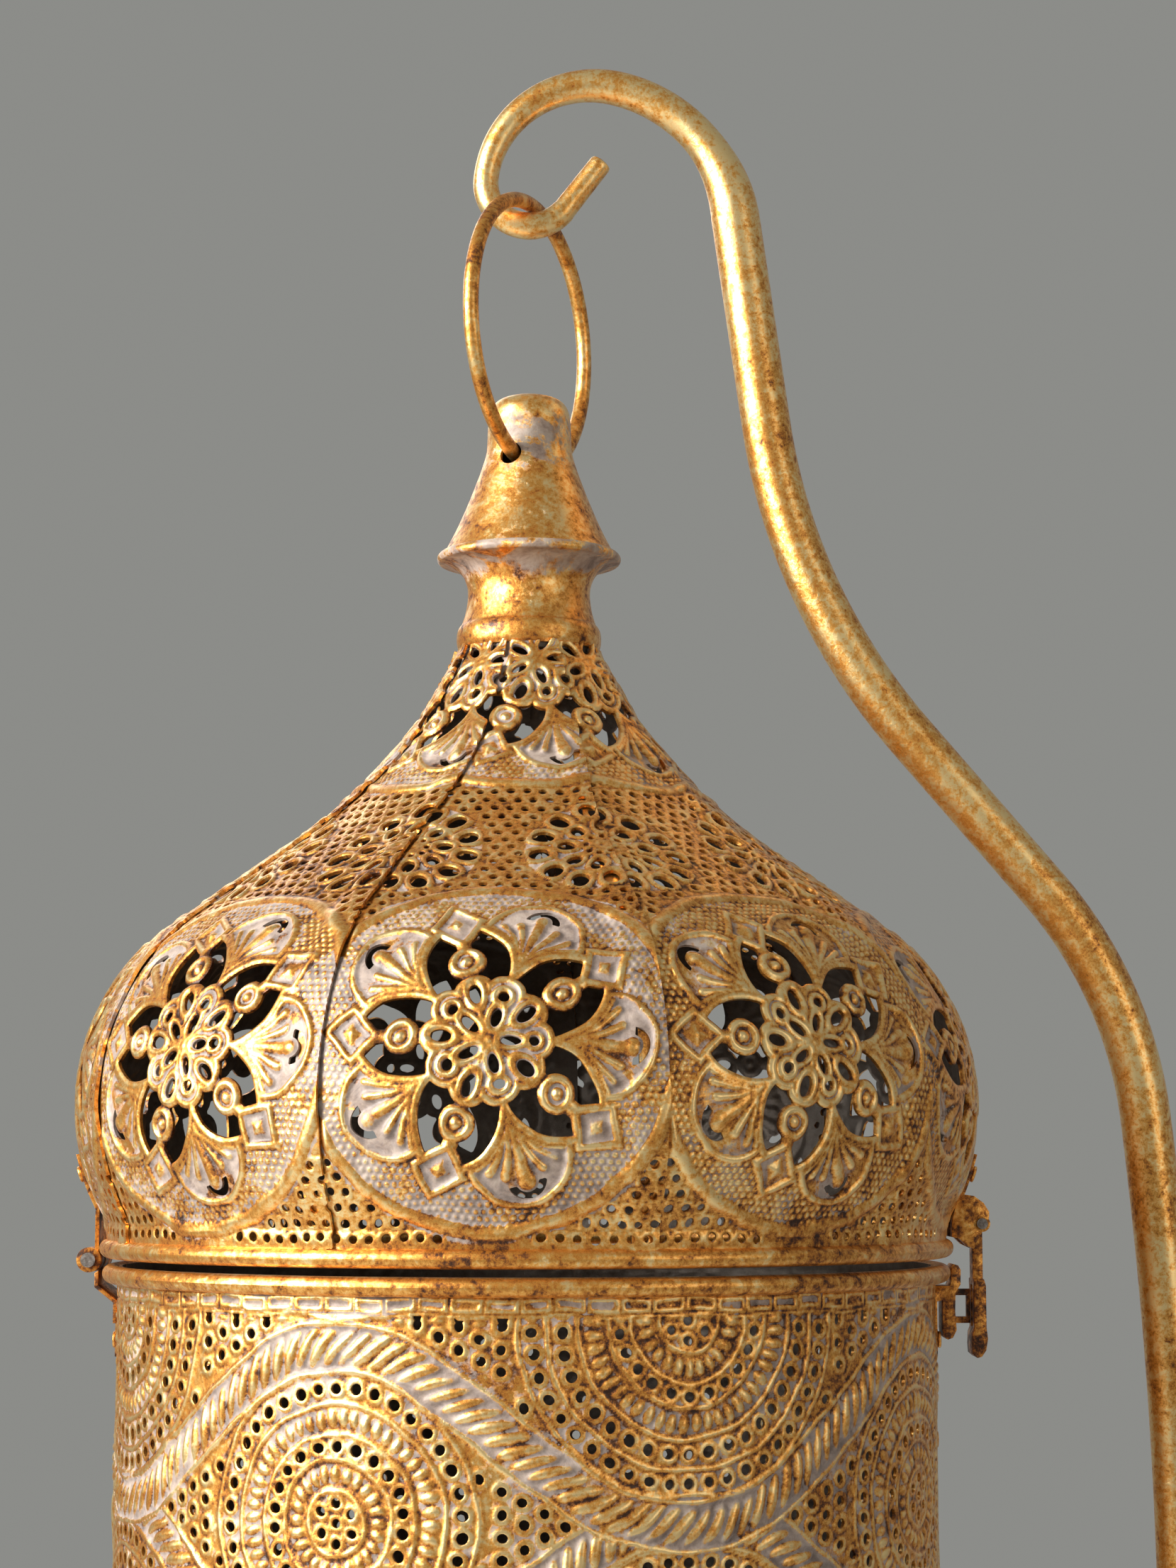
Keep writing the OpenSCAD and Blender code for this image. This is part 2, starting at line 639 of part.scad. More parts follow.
module gore(i) {
    color(i % 2 == 0 ? gold : pale_gold) at_lantern() difference() {
        rotate([0, 0, gore_start(i)]) union() {
            gore_body();
            gore_lap();
        }
        on_dome(gore_start(i) + medallion_turn, medallion_phi, 0) {
            translate([0, 0, -9]) cylinder(r = flower_hole_r, h = 14, $fn = 24);
            for (k = [0 : leaf_count - 1]) {
                rotate([0, 0, leaf_first + k * 360 / leaf_count]) translate([leaf_circle_r, 0, -14])
                    cylinder(r = leaf_hole_r, h = 19, $fn = 24);
            }
        }
        rosette_openings(gore_start(i) + medallion_turn);
        for (side = [-1, 1]) {
            on_dome(180 + side * leaf_angle * 0.28, leaf_high_phi - 5, 0) rivet_bore();
            on_dome(side * 2, leaf_high_phi - 5, 0) rivet_bore();
        }
    }
}

module dome_rim() {
    color(pale_gold) at_lantern() difference() {
        wire_ring(rim_r, rim_wire_r);
        translate([0, 0, 2]) tube(rim_r + sheet_t / 2, rim_r - sheet_t / 2, rim_wire_r);
    }
}

// A leaf hugs the dome and then drops past the rim wire
module lid_plate(turn) {
    foot = hinge_h + 2;
    bend_h = bulge_point(leaf_low_phi, 0)[1] - 1;
    rotate_extrude(angle = turn, start = -turn / 2, $fn = 128) polygon(concat(
        [[leaf_r, foot], [leaf_r + leaf_t, foot], [leaf_r + leaf_t, bend_h]],
        [for (phi = [leaf_low_phi : 5 : leaf_high_phi]) bulge_point(phi, -leaf_t)],
        [for (phi = [leaf_high_phi : -5 : leaf_low_phi]) bulge_point(phi, 0)],
        [[leaf_r, bend_h]]));
}

module lid_hinge_leaf() {
    color(dark_gold) at_lantern() difference() {
        union() {
            rotate([0, 0, 180]) lid_plate(leaf_angle);
            for (y0 = [-hinge_w / 2, middle_knuckle / 2 + free_gap]) {
                translate([hinge_x, y0, hinge_h]) rotate([-90, 0, 0])
                    cylinder(r = knuckle_r, h = (hinge_w - middle_knuckle) / 2 - free_gap);
            }
        }
        translate([hinge_x, -middle_knuckle / 2 - free_gap, hinge_h]) rotate([-90, 0, 0])
            cylinder(r = knuckle_r + 0.6, h = middle_knuckle + 2 * free_gap);
        translate([hinge_x, -hinge_w, hinge_h]) rotate([-90, 0, 0])
            cylinder(r = hinge_pin_r, h = 2 * hinge_w, $fn = 32);
        gore_skin();
        for (side = [-1, 1]) {
            on_dome(180 + side * leaf_angle * 0.28, leaf_high_phi - 5, 0) rivet_bore();
        }
    }
}

// The dome's outer face as a solid, for pieces that are fitted to it
module gore_skin() {
    rotate_extrude($fn = 128) polygon(concat(
        [[skin_depth_r, 5], [rim_r + sheet_t / 2, 5]],
        dome_side(0, bulge_low, bulge_high, 0), [[skin_depth_r, flank_top[1]]]));
}

module hinge_pin() {
    color(tin) at_lantern() translate([hinge_x, -hinge_w / 2 - 1, hinge_h]) rotate([-90, 0, 0]) {
        cylinder(r = hinge_pin_r, h = hinge_w + 2, $fn = 32);
        translate([0, 0, -1]) cylinder(r = hinge_pin_r + 0.8, h = 1, $fn = 32);
        translate([0, 0, hinge_w + 2]) cylinder(r = hinge_pin_r + 0.8, h = 1, $fn = 32);
    }
}

// A slice of the outline [x, height], w wide, about the hasp's middle
module slice_y(w, outline) {
    translate([0, w / 2, 0]) rotate([90, 0, 0]) linear_extrude(w) polygon(outline);
}

// The bracket's strap leaves the dome and arches over the hasp's knuckle
module bracket_strap() {
    slice_y(bracket_w, [
        [bracket_foot + 1, bracket_arch_h - 6], [bracket_foot + 1.8, bracket_arch_h - 2.4],
        [hasp_x - 5.2, bracket_arch_h], [hasp_x - 2.4, bracket_arch_h - 0.4],
        [hasp_x + 0.6, bracket_arch_h - 2.6], [hasp_x + 2.3, bracket_arch_h - 5.4],
        [hasp_x + 2.3, hasp_h + 2.4], [hasp_x, hasp_h + 3.2], [hasp_x - 2.2, hasp_h + 3.8],
        [hasp_x - 4.4, hasp_h + 4.4], [hasp_x - 6, hasp_h + 3.2]]);
}

// The two cheeks run down from the strap, beside the hasp, to the rim wire
module bracket_cheeks() {
    inner = hasp_knuckle_w / 2 + free_gap;
    difference() {
        slice_y(bracket_w, [
            [bracket_foot, hasp_h - 4.2], [bracket_foot + 0.1, hasp_h + 0.7],
            [bracket_foot + 1.3, bracket_arch_h - 3.6], [hasp_x - 5.2, bracket_arch_h - 0.4],
            [hasp_x + 0.6, bracket_arch_h - 3], [hasp_x + 2.3, hasp_h + 2.4], [hasp_x + 1.6, hasp_h - 2],
            [hasp_x, hasp_h - 2.6], [hasp_x - 1.8, hasp_h - 5.7], [hasp_x - 2.6, hasp_h - 7.9],
            [hasp_x - 5.2, hasp_h - 6.7], [hasp_x - 7.2, hasp_h - 4.7]]);
        translate([0, -inner, -1]) cube([2 * hasp_x, 2 * inner, hasp_h + 4.2]);
    }
}

module hasp_bracket() {
    plate_turn = bracket_w / dome_r * 180 / PI;
    color(dark_gold) at_lantern() difference() {
        union() {
            rotate_extrude(angle = plate_turn, start = -plate_turn / 2, $fn = 128) polygon(concat(
                [for (phi = [leaf_low_phi : 5 : leaf_high_phi]) bulge_point(phi, -leaf_t)],
                [for (phi = [leaf_high_phi : -5 : leaf_low_phi]) bulge_point(phi, 0)]));
            bracket_strap();
            bracket_cheeks();
            for (y0 = [-bracket_w / 2, hasp_knuckle_w / 2 + free_gap]) {
                translate([hasp_x, y0, hasp_h]) rotate([-90, 0, 0])
                    cylinder(r = hasp_knuckle_r, h = (bracket_w - hasp_knuckle_w) / 2 - free_gap, $fn = 32);
            }
        }
        gore_skin();
        translate([hasp_x, -hasp_knuckle_w / 2 - free_gap, hasp_h]) rotate([-90, 0, 0])
            cylinder(r = hasp_knuckle_r + 0.5, h = hasp_knuckle_w + 2 * free_gap, $fn = 32);
        translate([hasp_x, -hasp_w, hasp_h]) rotate([-90, 0, 0])
            cylinder(r = hasp_pin_r, h = 2 * hasp_w, $fn = 32);
        for (side = [-1, 1]) {
            on_dome(side * 2, leaf_high_phi - 5, 0) rivet_bore();
        }
    }
}

module hasp_pin() {
    reach_y = bracket_w / 2;
    color(tin) at_lantern() translate([hasp_x, -reach_y - 0.5, hasp_h]) rotate([-90, 0, 0]) {
        cylinder(r = hasp_pin_r, h = 2 * reach_y + 1, $fn = 32);
        translate([0, 0, -0.8]) cylinder(r = hasp_pin_r + 0.7, h = 0.8, $fn = 32);
        translate([0, 0, 2 * reach_y + 1]) cylinder(r = hasp_pin_r + 0.7, h = 0.8, $fn = 32);
    }
}

module lid_rivets() {
    color(pale_gold) at_lantern() for (side = [-1, 1]) {
        on_dome(180 + side * leaf_angle * 0.28, leaf_high_phi - 5, -leaf_t) rivet(leaf_t + sheet_t + 0.3);
        on_dome(side * 2, leaf_high_phi - 5, -leaf_t) rivet(leaf_t + sheet_t + 0.3);
    }
}

// ---- Hasp ----

module hasp() {
    tail = hasp_h - hasp_len;
    plate_top = hasp_h - hasp_arm_h;
    eye_low = eye_mid - eye_h / 2 - slot_play;
    color(gold) at_lantern() difference() {
        union() {
            translate([hasp_x, -hasp_knuckle_w / 2, hasp_h]) rotate([-90, 0, 0])
                cylinder(r = hasp_knuckle_r, h = hasp_knuckle_w, $fn = 32);
            translate([hasp_in, -hasp_knuckle_w / 2, plate_top - 1])
                cube([hasp_arm_t, hasp_knuckle_w, hasp_arm_h + 1]);
            slice_y(hasp_w, [
                [hasp_in, plate_top + 0.6], [hasp_in + hasp_arm_t, plate_top + 0.6],
                [hasp_in + hasp_plate_t, plate_top - 1.6], [hasp_in + hasp_plate_t, eye_low],
                [hasp_in + hasp_plate_t + 0.4, tail + 6], [hasp_in + hasp_plate_t - 0.2, tail + 2.4],
                [hasp_in + hasp_plate_t - 1.6, tail + 0.4], [hasp_in + 0.8, tail],
                [hasp_in - 0.6, tail + 1.2], [hasp_in - 0.8, tail + 4], [hasp_in - 0.6, eye_low - 1.6],
                [hasp_in, eye_low]]);
        }
        translate([hasp_x, -hasp_w, hasp_h]) rotate([-90, 0, 0])
            cylinder(r = hasp_pin_r + running_gap, h = 2 * hasp_w, $fn = 32);
        translate([hasp_in - 1, -slot_w / 2, eye_low + 0.3])
            cube([hasp_plate_t + 2, slot_w, eye_h + 2 * slot_play - 0.3]);
    }
}

// ---- Drum ----

module drum_rim() {
    color(pale_gold) at_lantern() difference() {
        translate([0, 0, -rim_pitch]) wire_ring(drum_rim_r, rim_wire_r);
        translate([0, 0, -rim_pitch - rim_wire_r - 1])
            cylinder(r = drum_r, h = 2 * rim_wire_r + 2, $fn = 128);
    }
}

module roundel_holes(row) {
    first = roundel_first + (row % 2) * 45;
    for (k = [0 : 3]) {
        on_drum(first + 90 * k, row_1_h - row * roundel_pitch, drum_r - 6) {
            cylinder(r = roundel_hole_r, h = 12, $fn = 24);
            for (j = [0 : 5]) {
                rotate([0, 0, j * 60]) translate([roundel_hole_circle_r, 0, 0])
                    cylinder(r = roundel_hole_r, h = 12, $fn = 24);
            }
        }
    }
}

module drum_half(first) {
    rows = floor((drum_h + row_1_h - 2 * roundel_hole_circle_r) / roundel_pitch);
    color(gold) at_lantern() difference() {
        translate([0, 0, drum_bottom]) rotate_extrude(angle = 180, start = first, $fn = 128)
            translate([drum_bore_r, 0]) square([sheet_t, drum_top - drum_bottom]);
        for (row = [1 : rows]) {
            roundel_holes(row);
        }
        seam_places() rivet_bore();
        drum_fitting_places() rivet_bore();
    }
}

module drum_sheet_front() {
    drum_half(180);
}

module drum_sheet_rear() {
    drum_half(0);
}

// Places of the rivets along both seams
module seam_places() {
    pitch = (drum_h - 100) / 3;
    for (seam = [0, 180], side = [-1, 1], k = [0 : 3]) {
        on_drum(seam + side * strip_turn * 0.55, -60 - k * pitch, drum_r) children();
    }
}

module drum_fitting_places() {
    for (seam = [0, 180], side = [-1, 1]) {
        on_drum(seam + side * 2, drum_leaf_low + 5, drum_r) children();
    }
}

module seam_strips() {
    color(tin) at_lantern() difference() {
        for (seam = [0, 180]) {
            translate([0, 0, pan_floor + pan_wall_h + 1])
                rotate_extrude(angle = 2 * strip_turn, start = seam - strip_turn, $fn = 128)
                    translate([drum_bore_r - strip_t, 0]) square([strip_t, drum_h - pan_wall_h - 12]);
        }
        seam_places() rivet_bore();
        drum_fitting_places() rivet_bore();
    }
}

module seam_rivets() {
    color(pale_gold) at_lantern() seam_places() rivet(sheet_t + strip_t + 0.15);
}

// A plate that hugs the drum below its rim wire
module drum_plate(turn, top) {
    rotate_extrude(angle = turn, start = -turn / 2, $fn = 128)
        translate([drum_r, drum_leaf_low]) square([leaf_t, top - drum_leaf_low]);
}

module drum_hinge_leaf() {
    pass_r = drum_rim_r + rim_wire_r + 0.9;
    near = drum_r + 0.2;
    step_h = -rim_pitch - 8.8;
    color(dark_gold) at_lantern() difference() {
        union() {
            rotate([0, 0, 180]) drum_plate(leaf_angle, step_h - 1);
            rotate([0, 0, 180]) translate([0, hinge_w / 2, 0]) rotate([90, 0, 0])
                linear_extrude(hinge_w) polygon([
                    [near, step_h - 7], [near + leaf_t, step_h - 7], [near + leaf_t, step_h - 0.6],
                    [pass_r + leaf_t, step_h + 4.2], [pass_r + leaf_t, hinge_h - 1.4],
                    [pass_r, hinge_h - 1.4], [pass_r, step_h + 4.8], [near, step_h]]);
            translate([hinge_x, -middle_knuckle / 2, hinge_h]) rotate([-90, 0, 0])
                cylinder(r = knuckle_r, h = middle_knuckle);
        }
        for (y0 = [-hinge_w, middle_knuckle / 2]) {
            translate([hinge_x, y0, hinge_h]) rotate([-90, 0, 0])
                cylinder(r = knuckle_r + 0.6, h = hinge_w - middle_knuckle / 2);
        }
        translate([hinge_x, -hinge_w, hinge_h]) rotate([-90, 0, 0])
            cylinder(r = hinge_pin_r + running_gap, h = 2 * hinge_w, $fn = 32);
        drum_fitting_places() rivet_bore();
    }
}

// The staple leaves the drum under the rim wire, passes outside the wire and
// hangs down. Its eye goes into the hasp's slot when the lamp is shut.
module hasp_staple() {
    plate_turn = staple_w / drum_r * 180 / PI;
    near = drum_r + 0.2;
    top = -rim_pitch - 4.4;
    color(dark_gold) at_lantern() difference() {
        union() {
            drum_plate(plate_turn, top - 2);
            slice_y(staple_w, [
                [near, top - 5.2], [near, top], [staple_pass - 0.4, top], [staple_pass, top + 1.2],
                [staple_pass, 1.4 - rim_pitch], [staple_pass + 0.8, 2.4 - rim_pitch],
                [staple_pass + 2.2, 2 - rim_pitch], [staple_pass + 3, 0.6 - rim_pitch],
                [staple_pass + 2.9, top + 0.4], [staple_face, top - 2], [staple_face - 0.2, top - 8],
                [staple_face + 0.2, staple_low + 3], [staple_face - 1, staple_low + 0.6],
                [staple_face - 2.6, staple_low], [staple_face - 3.8, staple_low + 1],
                [near + 2.6, staple_low + 3.4], [near + 2.7, top - 4.4]]);
            translate([staple_face - 1, -eye_w / 2, eye_mid - eye_h / 2])
                cube([eye_tip - staple_face + 1, eye_w, eye_h]);
        }
        translate([staple_face + 0.2, -eye_w, eye_mid - eye_h / 2 + eye_wall])
            cube([eye_tip - staple_face - 0.2 - eye_tip_wall, 2 * eye_w, eye_h - 2 * eye_wall]);
        drum_fitting_places() rivet_bore();
    }
}

module drum_rivets() {
    color(pale_gold) at_lantern() for (seam = [0, 180], side = [-1, 1]) {
        on_drum(seam + side * 2, drum_leaf_low + 5, drum_r + leaf_t)
            rivet(leaf_t + sheet_t + strip_t + 0.15);
    }
}

module foot_ring() {
    color(pale_gold) at_lantern() difference() {
        translate([0, 0, -drum_h]) wire_ring(drum_rim_r, rim_wire_r);
        translate([0, 0, -drum_h - rim_wire_r - 1]) cylinder(r = drum_r, h = 2 * rim_wire_r + 2, $fn = 128);
    }
}

module floor_pan() {
    color(tin) at_lantern() difference() {
        translate([0, 0, pan_floor - pan_t]) cylinder(r = drum_bore_r, h = pan_wall_h + pan_t, $fn = 128);
        translate([0, 0, pan_floor]) cylinder(r = drum_bore_r - pan_t, h = pan_wall_h + 1, $fn = 128);
        for (k = [0 : vent_count - 1]) {
            rotate([0, 0, (k + 0.5) * 360 / vent_count])
                translate([vent_circle_r, 0, pan_floor - pan_t - 1])
                cylinder(r = vent_r, h = pan_t + 2, $fn = 32);
        }
        translate([0, 0, pan_floor - pan_t - 1]) cylinder(r = spike_r, h = pan_t + 2, $fn = 32);
    }
}

module candle_tray() {
    color(dark_gold) at_lantern() translate([0, 0, pan_floor]) difference() {
        cylinder(r1 = tray_r, r2 = tray_r + tray_spread, h = tray_rim_h);
        translate([0, 0, tray_t]) cylinder(r1 = tray_r - tray_t, r2 = tray_r + tray_spread, h = tray_rim_h);
        translate([0, 0, -1]) cylinder(r = spike_r, h = 4, $fn = 32);
    }
}

module spike_cone() {
    cylinder(r1 = spike_r, r2 = spike_tip_r, h = spike_len, $fn = 32);
}

module candle_spike() {
    color(iron) at_lantern() {
        translate([0, 0, candle_floor]) spike_cone();
        translate([0, 0, candle_floor - spike_flange_t])
            cylinder(r = spike_flange_r, h = spike_flange_t, $fn = 32);
        translate([0, 0, pan_floor - pan_t]) cylinder(r = spike_r, h = pan_t + tray_t, $fn = 32);
        translate([0, 0, pan_floor - pan_t - 1]) cylinder(r = spike_r + 2, h = 1, $fn = 32);
    }
}

module candle() {
    color("#efe6cf") at_lantern() translate([0, 0, candle_floor]) difference() {
        cylinder(r = candle_r, h = candle_h);
        spike_cone();
        translate([0, 0, candle_h - wick_sink]) cylinder(r = wick_r, h = wick_sink + 1, $fn = 24);
    }
}

module wick() {
    color("#3a3228") at_lantern() translate([0, 0, candle_floor + candle_h - wick_sink])
        cylinder(r = wick_r, h = wick_sink + wick_rise, $fn = 24);
}

base_plate();
felt_pad();
pole_collar();
pole_plug();
base_bolt();
base_washer();
lower_pole();
joint_spigot();
joint_ferrule();
ferrule_screws();
crook();
hook();
hanging_ring();
cap();
collar();
crown_ring();
gore(1);  // dome_gore_1
gore(2);  // dome_gore_2
gore(3);  // dome_gore_3
gore(4);  // dome_gore_4
gore(5);  // dome_gore_5
gore(6);  // dome_gore_6
gore(7);  // dome_gore_7
gore(8);  // dome_gore_8
gore(9);  // dome_gore_9
dome_rim();
lid_hinge_leaf();
hinge_pin();
hasp_bracket();
hasp_pin();
lid_rivets();
hasp();
drum_rim();
drum_sheet_front();
drum_sheet_rear();
seam_strips();
seam_rivets();
drum_hinge_leaf();
hasp_staple();
drum_rivets();
foot_ring();
floor_pan();
candle_tray();
candle_spike();
candle();
wick();
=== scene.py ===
import math

import bmesh
import bpy
import numpy as np
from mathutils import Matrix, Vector


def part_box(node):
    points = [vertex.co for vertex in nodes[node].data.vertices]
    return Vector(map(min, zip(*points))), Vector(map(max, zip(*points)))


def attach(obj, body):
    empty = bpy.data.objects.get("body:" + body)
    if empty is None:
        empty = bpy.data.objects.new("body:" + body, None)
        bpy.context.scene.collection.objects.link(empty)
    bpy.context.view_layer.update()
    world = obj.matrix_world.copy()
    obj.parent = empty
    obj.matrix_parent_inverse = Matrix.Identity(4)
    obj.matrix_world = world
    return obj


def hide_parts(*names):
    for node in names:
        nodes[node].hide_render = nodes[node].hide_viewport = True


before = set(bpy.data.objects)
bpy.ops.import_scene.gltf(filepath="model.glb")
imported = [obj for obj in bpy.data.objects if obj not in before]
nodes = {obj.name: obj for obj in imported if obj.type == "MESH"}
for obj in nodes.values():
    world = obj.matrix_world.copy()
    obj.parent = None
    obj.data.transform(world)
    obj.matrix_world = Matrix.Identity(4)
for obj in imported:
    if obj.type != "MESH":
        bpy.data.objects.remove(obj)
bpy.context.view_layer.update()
scene = bpy.context.scene

MM = 0.001
rim_low, rim_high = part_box("dome_rim")
lantern_axis = (rim_low + rim_high) / 2          # the middle of the upper rim wire's circle


def at_lantern(points):
    """Millimetres about the lantern's axis and rim to metres in the frame."""
    return np.asarray(points, dtype=float) * MM + np.array(lantern_axis)


# ---- Making pieces ----

def make_piece(name, points, faces, materials, body, slot, replaces=(), layers=None,
               creases=None, sharp=None):
    """A piece from points in metres and faces, [(rows of corners, material index)]."""
    mesh = bpy.data.meshes.new(name)
    mesh.vertices.add(len(points))
    mesh.vertices.foreach_set("co", np.asarray(points, dtype=np.float32).ravel())
    corners = np.concatenate([rows.ravel() for rows, _ in faces]).astype(np.int32)
    sizes = np.concatenate([np.full(len(rows), rows.shape[1]) for rows, _ in faces])
    finish = np.concatenate([np.full(len(rows), index) for rows, index in faces])
    mesh.loops.add(len(corners))
    mesh.loops.foreach_set("vertex_index", corners)
    mesh.polygons.add(len(sizes))
    starts = np.concatenate([[0], np.cumsum(sizes)[:-1]])
    mesh.polygons.foreach_set("loop_start", starts.astype(np.int32))
    mesh.polygons.foreach_set("material_index", finish.astype(np.int32))
    mesh.polygons.foreach_set("use_smooth", np.ones(len(sizes), dtype=bool))
    for label, values in (layers or {}).items():
        layer = mesh.attributes.new(label, 'FLOAT', 'POINT')
        layer.data.foreach_set("value", np.asarray(values, dtype=np.float32))
    mesh.update(calc_edges=True)
    if creases is not None:
        ends = np.empty(2 * len(mesh.edges), dtype=np.int32)
        mesh.edges.foreach_get("vertices", ends)
        ends = np.sort(ends.reshape(-1, 2), axis=1).astype(np.int64)
        wanted = np.sort(creases, axis=1).astype(np.int64)
        count = len(points)
        crease = np.isin(ends[:, 0] * count + ends[:, 1], wanted[:, 0] * count + wanted[:, 1])
        layer = mesh.attributes.new("sharp_edge", 'BOOLEAN', 'EDGE')
        layer.data.foreach_set("value", crease)
    if sharp is not None:
        mesh.set_sharp_from_angle(angle=math.radians(sharp))
    for material in materials:
        mesh.materials.append(material)
    return settle(name, mesh, body, slot, replaces)


def settle(name, mesh, body, slot, replaces):
    piece = bpy.data.objects.new(name, mesh)
    scene.collection.objects.link(piece)
    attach(piece, body)
    if replaces:
        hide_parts(*replaces)
    return piece


# Marching squares. Corners 0 to 3 go round a cell from its lower left, and 4 to 7
# are the crossings on its lower, right, upper and left side. A case has its
# polygons and the edges where they are cut.
CUT_CASES = {
    1: ([(0, 4, 7)], [(4, 7)]), 2: ([(1, 5, 4)], [(5, 4)]),
    3: ([(0, 1, 5, 7)], [(5, 7)]), 4: ([(2, 6, 5)], [(6, 5)]),
    5: ([(0, 4, 7), (2, 6, 5)], [(4, 7), (6, 5)]), 6: ([(1, 2, 6, 4)], [(6, 4)]),
    7: ([(0, 1, 2, 6, 7)], [(6, 7)]), 8: ([(3, 7, 6)], [(7, 6)]),
    9: ([(0, 4, 6, 3)], [(4, 6)]), 10: ([(1, 5, 4), (3, 7, 6)], [(5, 4), (7, 6)]),
    11: ([(0, 1, 5, 6, 3)], [(5, 6)]), 12: ([(2, 3, 7, 5)], [(7, 5)]),
    13: ([(0, 4, 5, 2, 3)], [(4, 5)]), 14: ([(1, 2, 3, 7, 4)], [(7, 4)]),
    15: ([(0, 1, 2, 3)], [])}


def cut_grid(gap):
    """Cuts a grid where gap is below zero. Gives a function that carries a grid's
    values to the points, then the polygons and the cut edges."""
    solid = gap > 0

    def crossings(a, b):
        crossed = (a > 0) != (b > 0)
        return crossed, np.clip(a / np.where(crossed, a - b, 1), 0.12, 0.88)

    across, across_t = crossings(gap[:, :-1], gap[:, 1:])
    upward, upward_t = crossings(gap[:-1], gap[1:])

    def carry(values):
        rows = (values[:, :-1] + across_t * (values[:, 1:] - values[:, :-1]))[across]
        columns = (values[:-1] + upward_t * (values[1:] - values[:-1]))[upward]
        return np.concatenate([values[solid], rows, columns])

    def numbered(mask, first):
        numbers = np.full(mask.shape, -1)
        numbers[mask] = first + np.arange(mask.sum())
        return numbers

    corner = numbered(solid, 0)
    row = numbered(across, solid.sum())
    column = numbered(upward, solid.sum() + across.sum())
    code = solid[:-1, :-1] + 2 * solid[:-1, 1:] + 4 * solid[1:, 1:] + 8 * solid[1:, :-1]
    places = [corner[:-1, :-1], corner[:-1, 1:], corner[1:, 1:], corner[1:, :-1],
              row[:-1], column[:, 1:], row[1:], column[:, :-1]]
    polygons = {3: [], 4: [], 5: []}
    cuts = []
    for case, (outlines, edges) in CUT_CASES.items():
        cell = code == case
        picked = [place[cell] for place in places]
        for outline in outlines:
            polygons[len(outline)].append(np.stack([picked[k] for k in outline], 1))
        for a, b in edges:
            cuts.append(np.stack([picked[a], picked[b]], 1))
    return carry, [np.concatenate(rows) for rows in polygons.values()], np.concatenate(cuts)


def cut_sheet(name, gap, outside, inside, layers, **settings):
    """A sheet with a front and a back skin, given as grids of points, cut where gap
    is below zero, with walls round every opening."""
    carry, polygons, cuts = cut_grid(gap)
    front = np.stack([carry(outside[..., k]) for k in range(3)], 1)
    back = np.stack([carry(inside[..., k]) for k in range(3)], 1)
    count = len(front)
    faces = [(rows, 0) for rows in polygons]
    faces += [(rows[:, ::-1] + count, 1) for rows in polygons]
    walls = np.stack([cuts[:, 1], cuts[:, 0], cuts[:, 0] + count, cuts[:, 1] + count], 1)
    faces.append((walls, 0))
    carried = {label: np.tile(carry(values), 2) for label, values in layers.items()}
    return make_piece(name, at_lantern(np.concatenate([front, back])), faces,
                      layers=carried, creases=np.concatenate([cuts, cuts + count]), **settings)


def softened(node, width, material, slot, body):
    """Stands for a CAD node, with its hard edges rounded."""
    mesh = nodes[node].data.copy()
    mesh.name = node + "_soft"
    mesh.materials.clear()
    mesh.materials.append(material)
    work = bmesh.new()
    work.from_mesh(mesh)
    bmesh.ops.remove_doubles(work, verts=work.verts, dist=0.000002)
    bmesh.ops.dissolve_limit(work, angle_limit=math.radians(1), verts=work.verts, edges=work.edges)
    hard = [e for e in work.edges if len(e.link_faces) == 2 and e.calc_face_angle() > math.radians(28)]
    bmesh.ops.bevel(work, geom=hard, offset=width * MM, offset_type='OFFSET', segments=2,
                    profile=0.5, affect='EDGES', clamp_overlap=True)
    for face in work.faces:
        face.smooth = True
        face.material_index = 0
    work.to_mesh(mesh)
    work.free()
    mesh.set_sharp_from_angle(angle=math.radians(40))
    return settle(node + "_soft", mesh, body, slot, (node,))


def ring_faces(rows, sides, round_again):
    """Quads between rings of points. They go round again to the first ring, or
    else both ends get a face."""
    ring = np.arange(sides)
    following = (ring + 1) % sides
    quads = []
    for row in range(rows if round_again else rows - 1):
        low, high = row * sides, (row + 1) % rows * sides
        quads.append(np.stack([low + ring, low + following, high + following, high + ring], 1))
    faces = [(np.concatenate(quads), 0)]
    if not round_again:
        faces.append((ring[::-1][None, :], 0))
        faces.append((ring[None, :] + (rows - 1) * sides, 0))
    return faces


TURNED_EDGE = 38                                 # degrees of a sharp edge


def turned(name, profile, material, body, slot, replaces, sides=160, wobble=0.0, layers=None):
    """A closed profile of (radius, height), turned about the lantern's axis."""
    profile = np.array(profile)
    angle = np.linspace(0, 2 * math.pi, sides, endpoint=False)
    unevenness = 1 + wobble * (np.sin(2 * angle + 0.6) + 0.6 * np.sin(5 * angle))
    rings = np.stack([profile[:, 0][:, None] * np.cos(angle) * unevenness,
                      profile[:, 0][:, None] * np.sin(angle) * unevenness,
                      np.repeat(profile[:, 1][:, None], sides, 1)], -1)
    carried = {label: np.repeat(values, sides) for label, values in (layers or {}).items()}
    return make_piece(name, at_lantern(rings.reshape(-1, 3)), ring_faces(len(profile), sides, True),
                      [material], body, slot, replaces, carried, sharp=TURNED_EDGE)


def smooth_line(points, steps=6):
    """A smooth curve through the given points."""
    points = [points[0]] + list(points) + [points[-1]]
    curve = []
    for a, b, c, d in zip(points[:-3], points[1:-2], points[2:-1], points[3:]):
        for k in range(steps):
            t = k / steps
            curve.append(tuple(0.5 * (2 * q + (r - p) * t + (2 * p - 5 * q + 4 * r - s) * t * t
                                      + (3 * q - p - 3 * r + s) * t ** 3)
                               for p, q, r, s in zip(a, b, c, d)))
    curve.append(tuple(points[-1]))
    return curve


# ---- Finishes ----

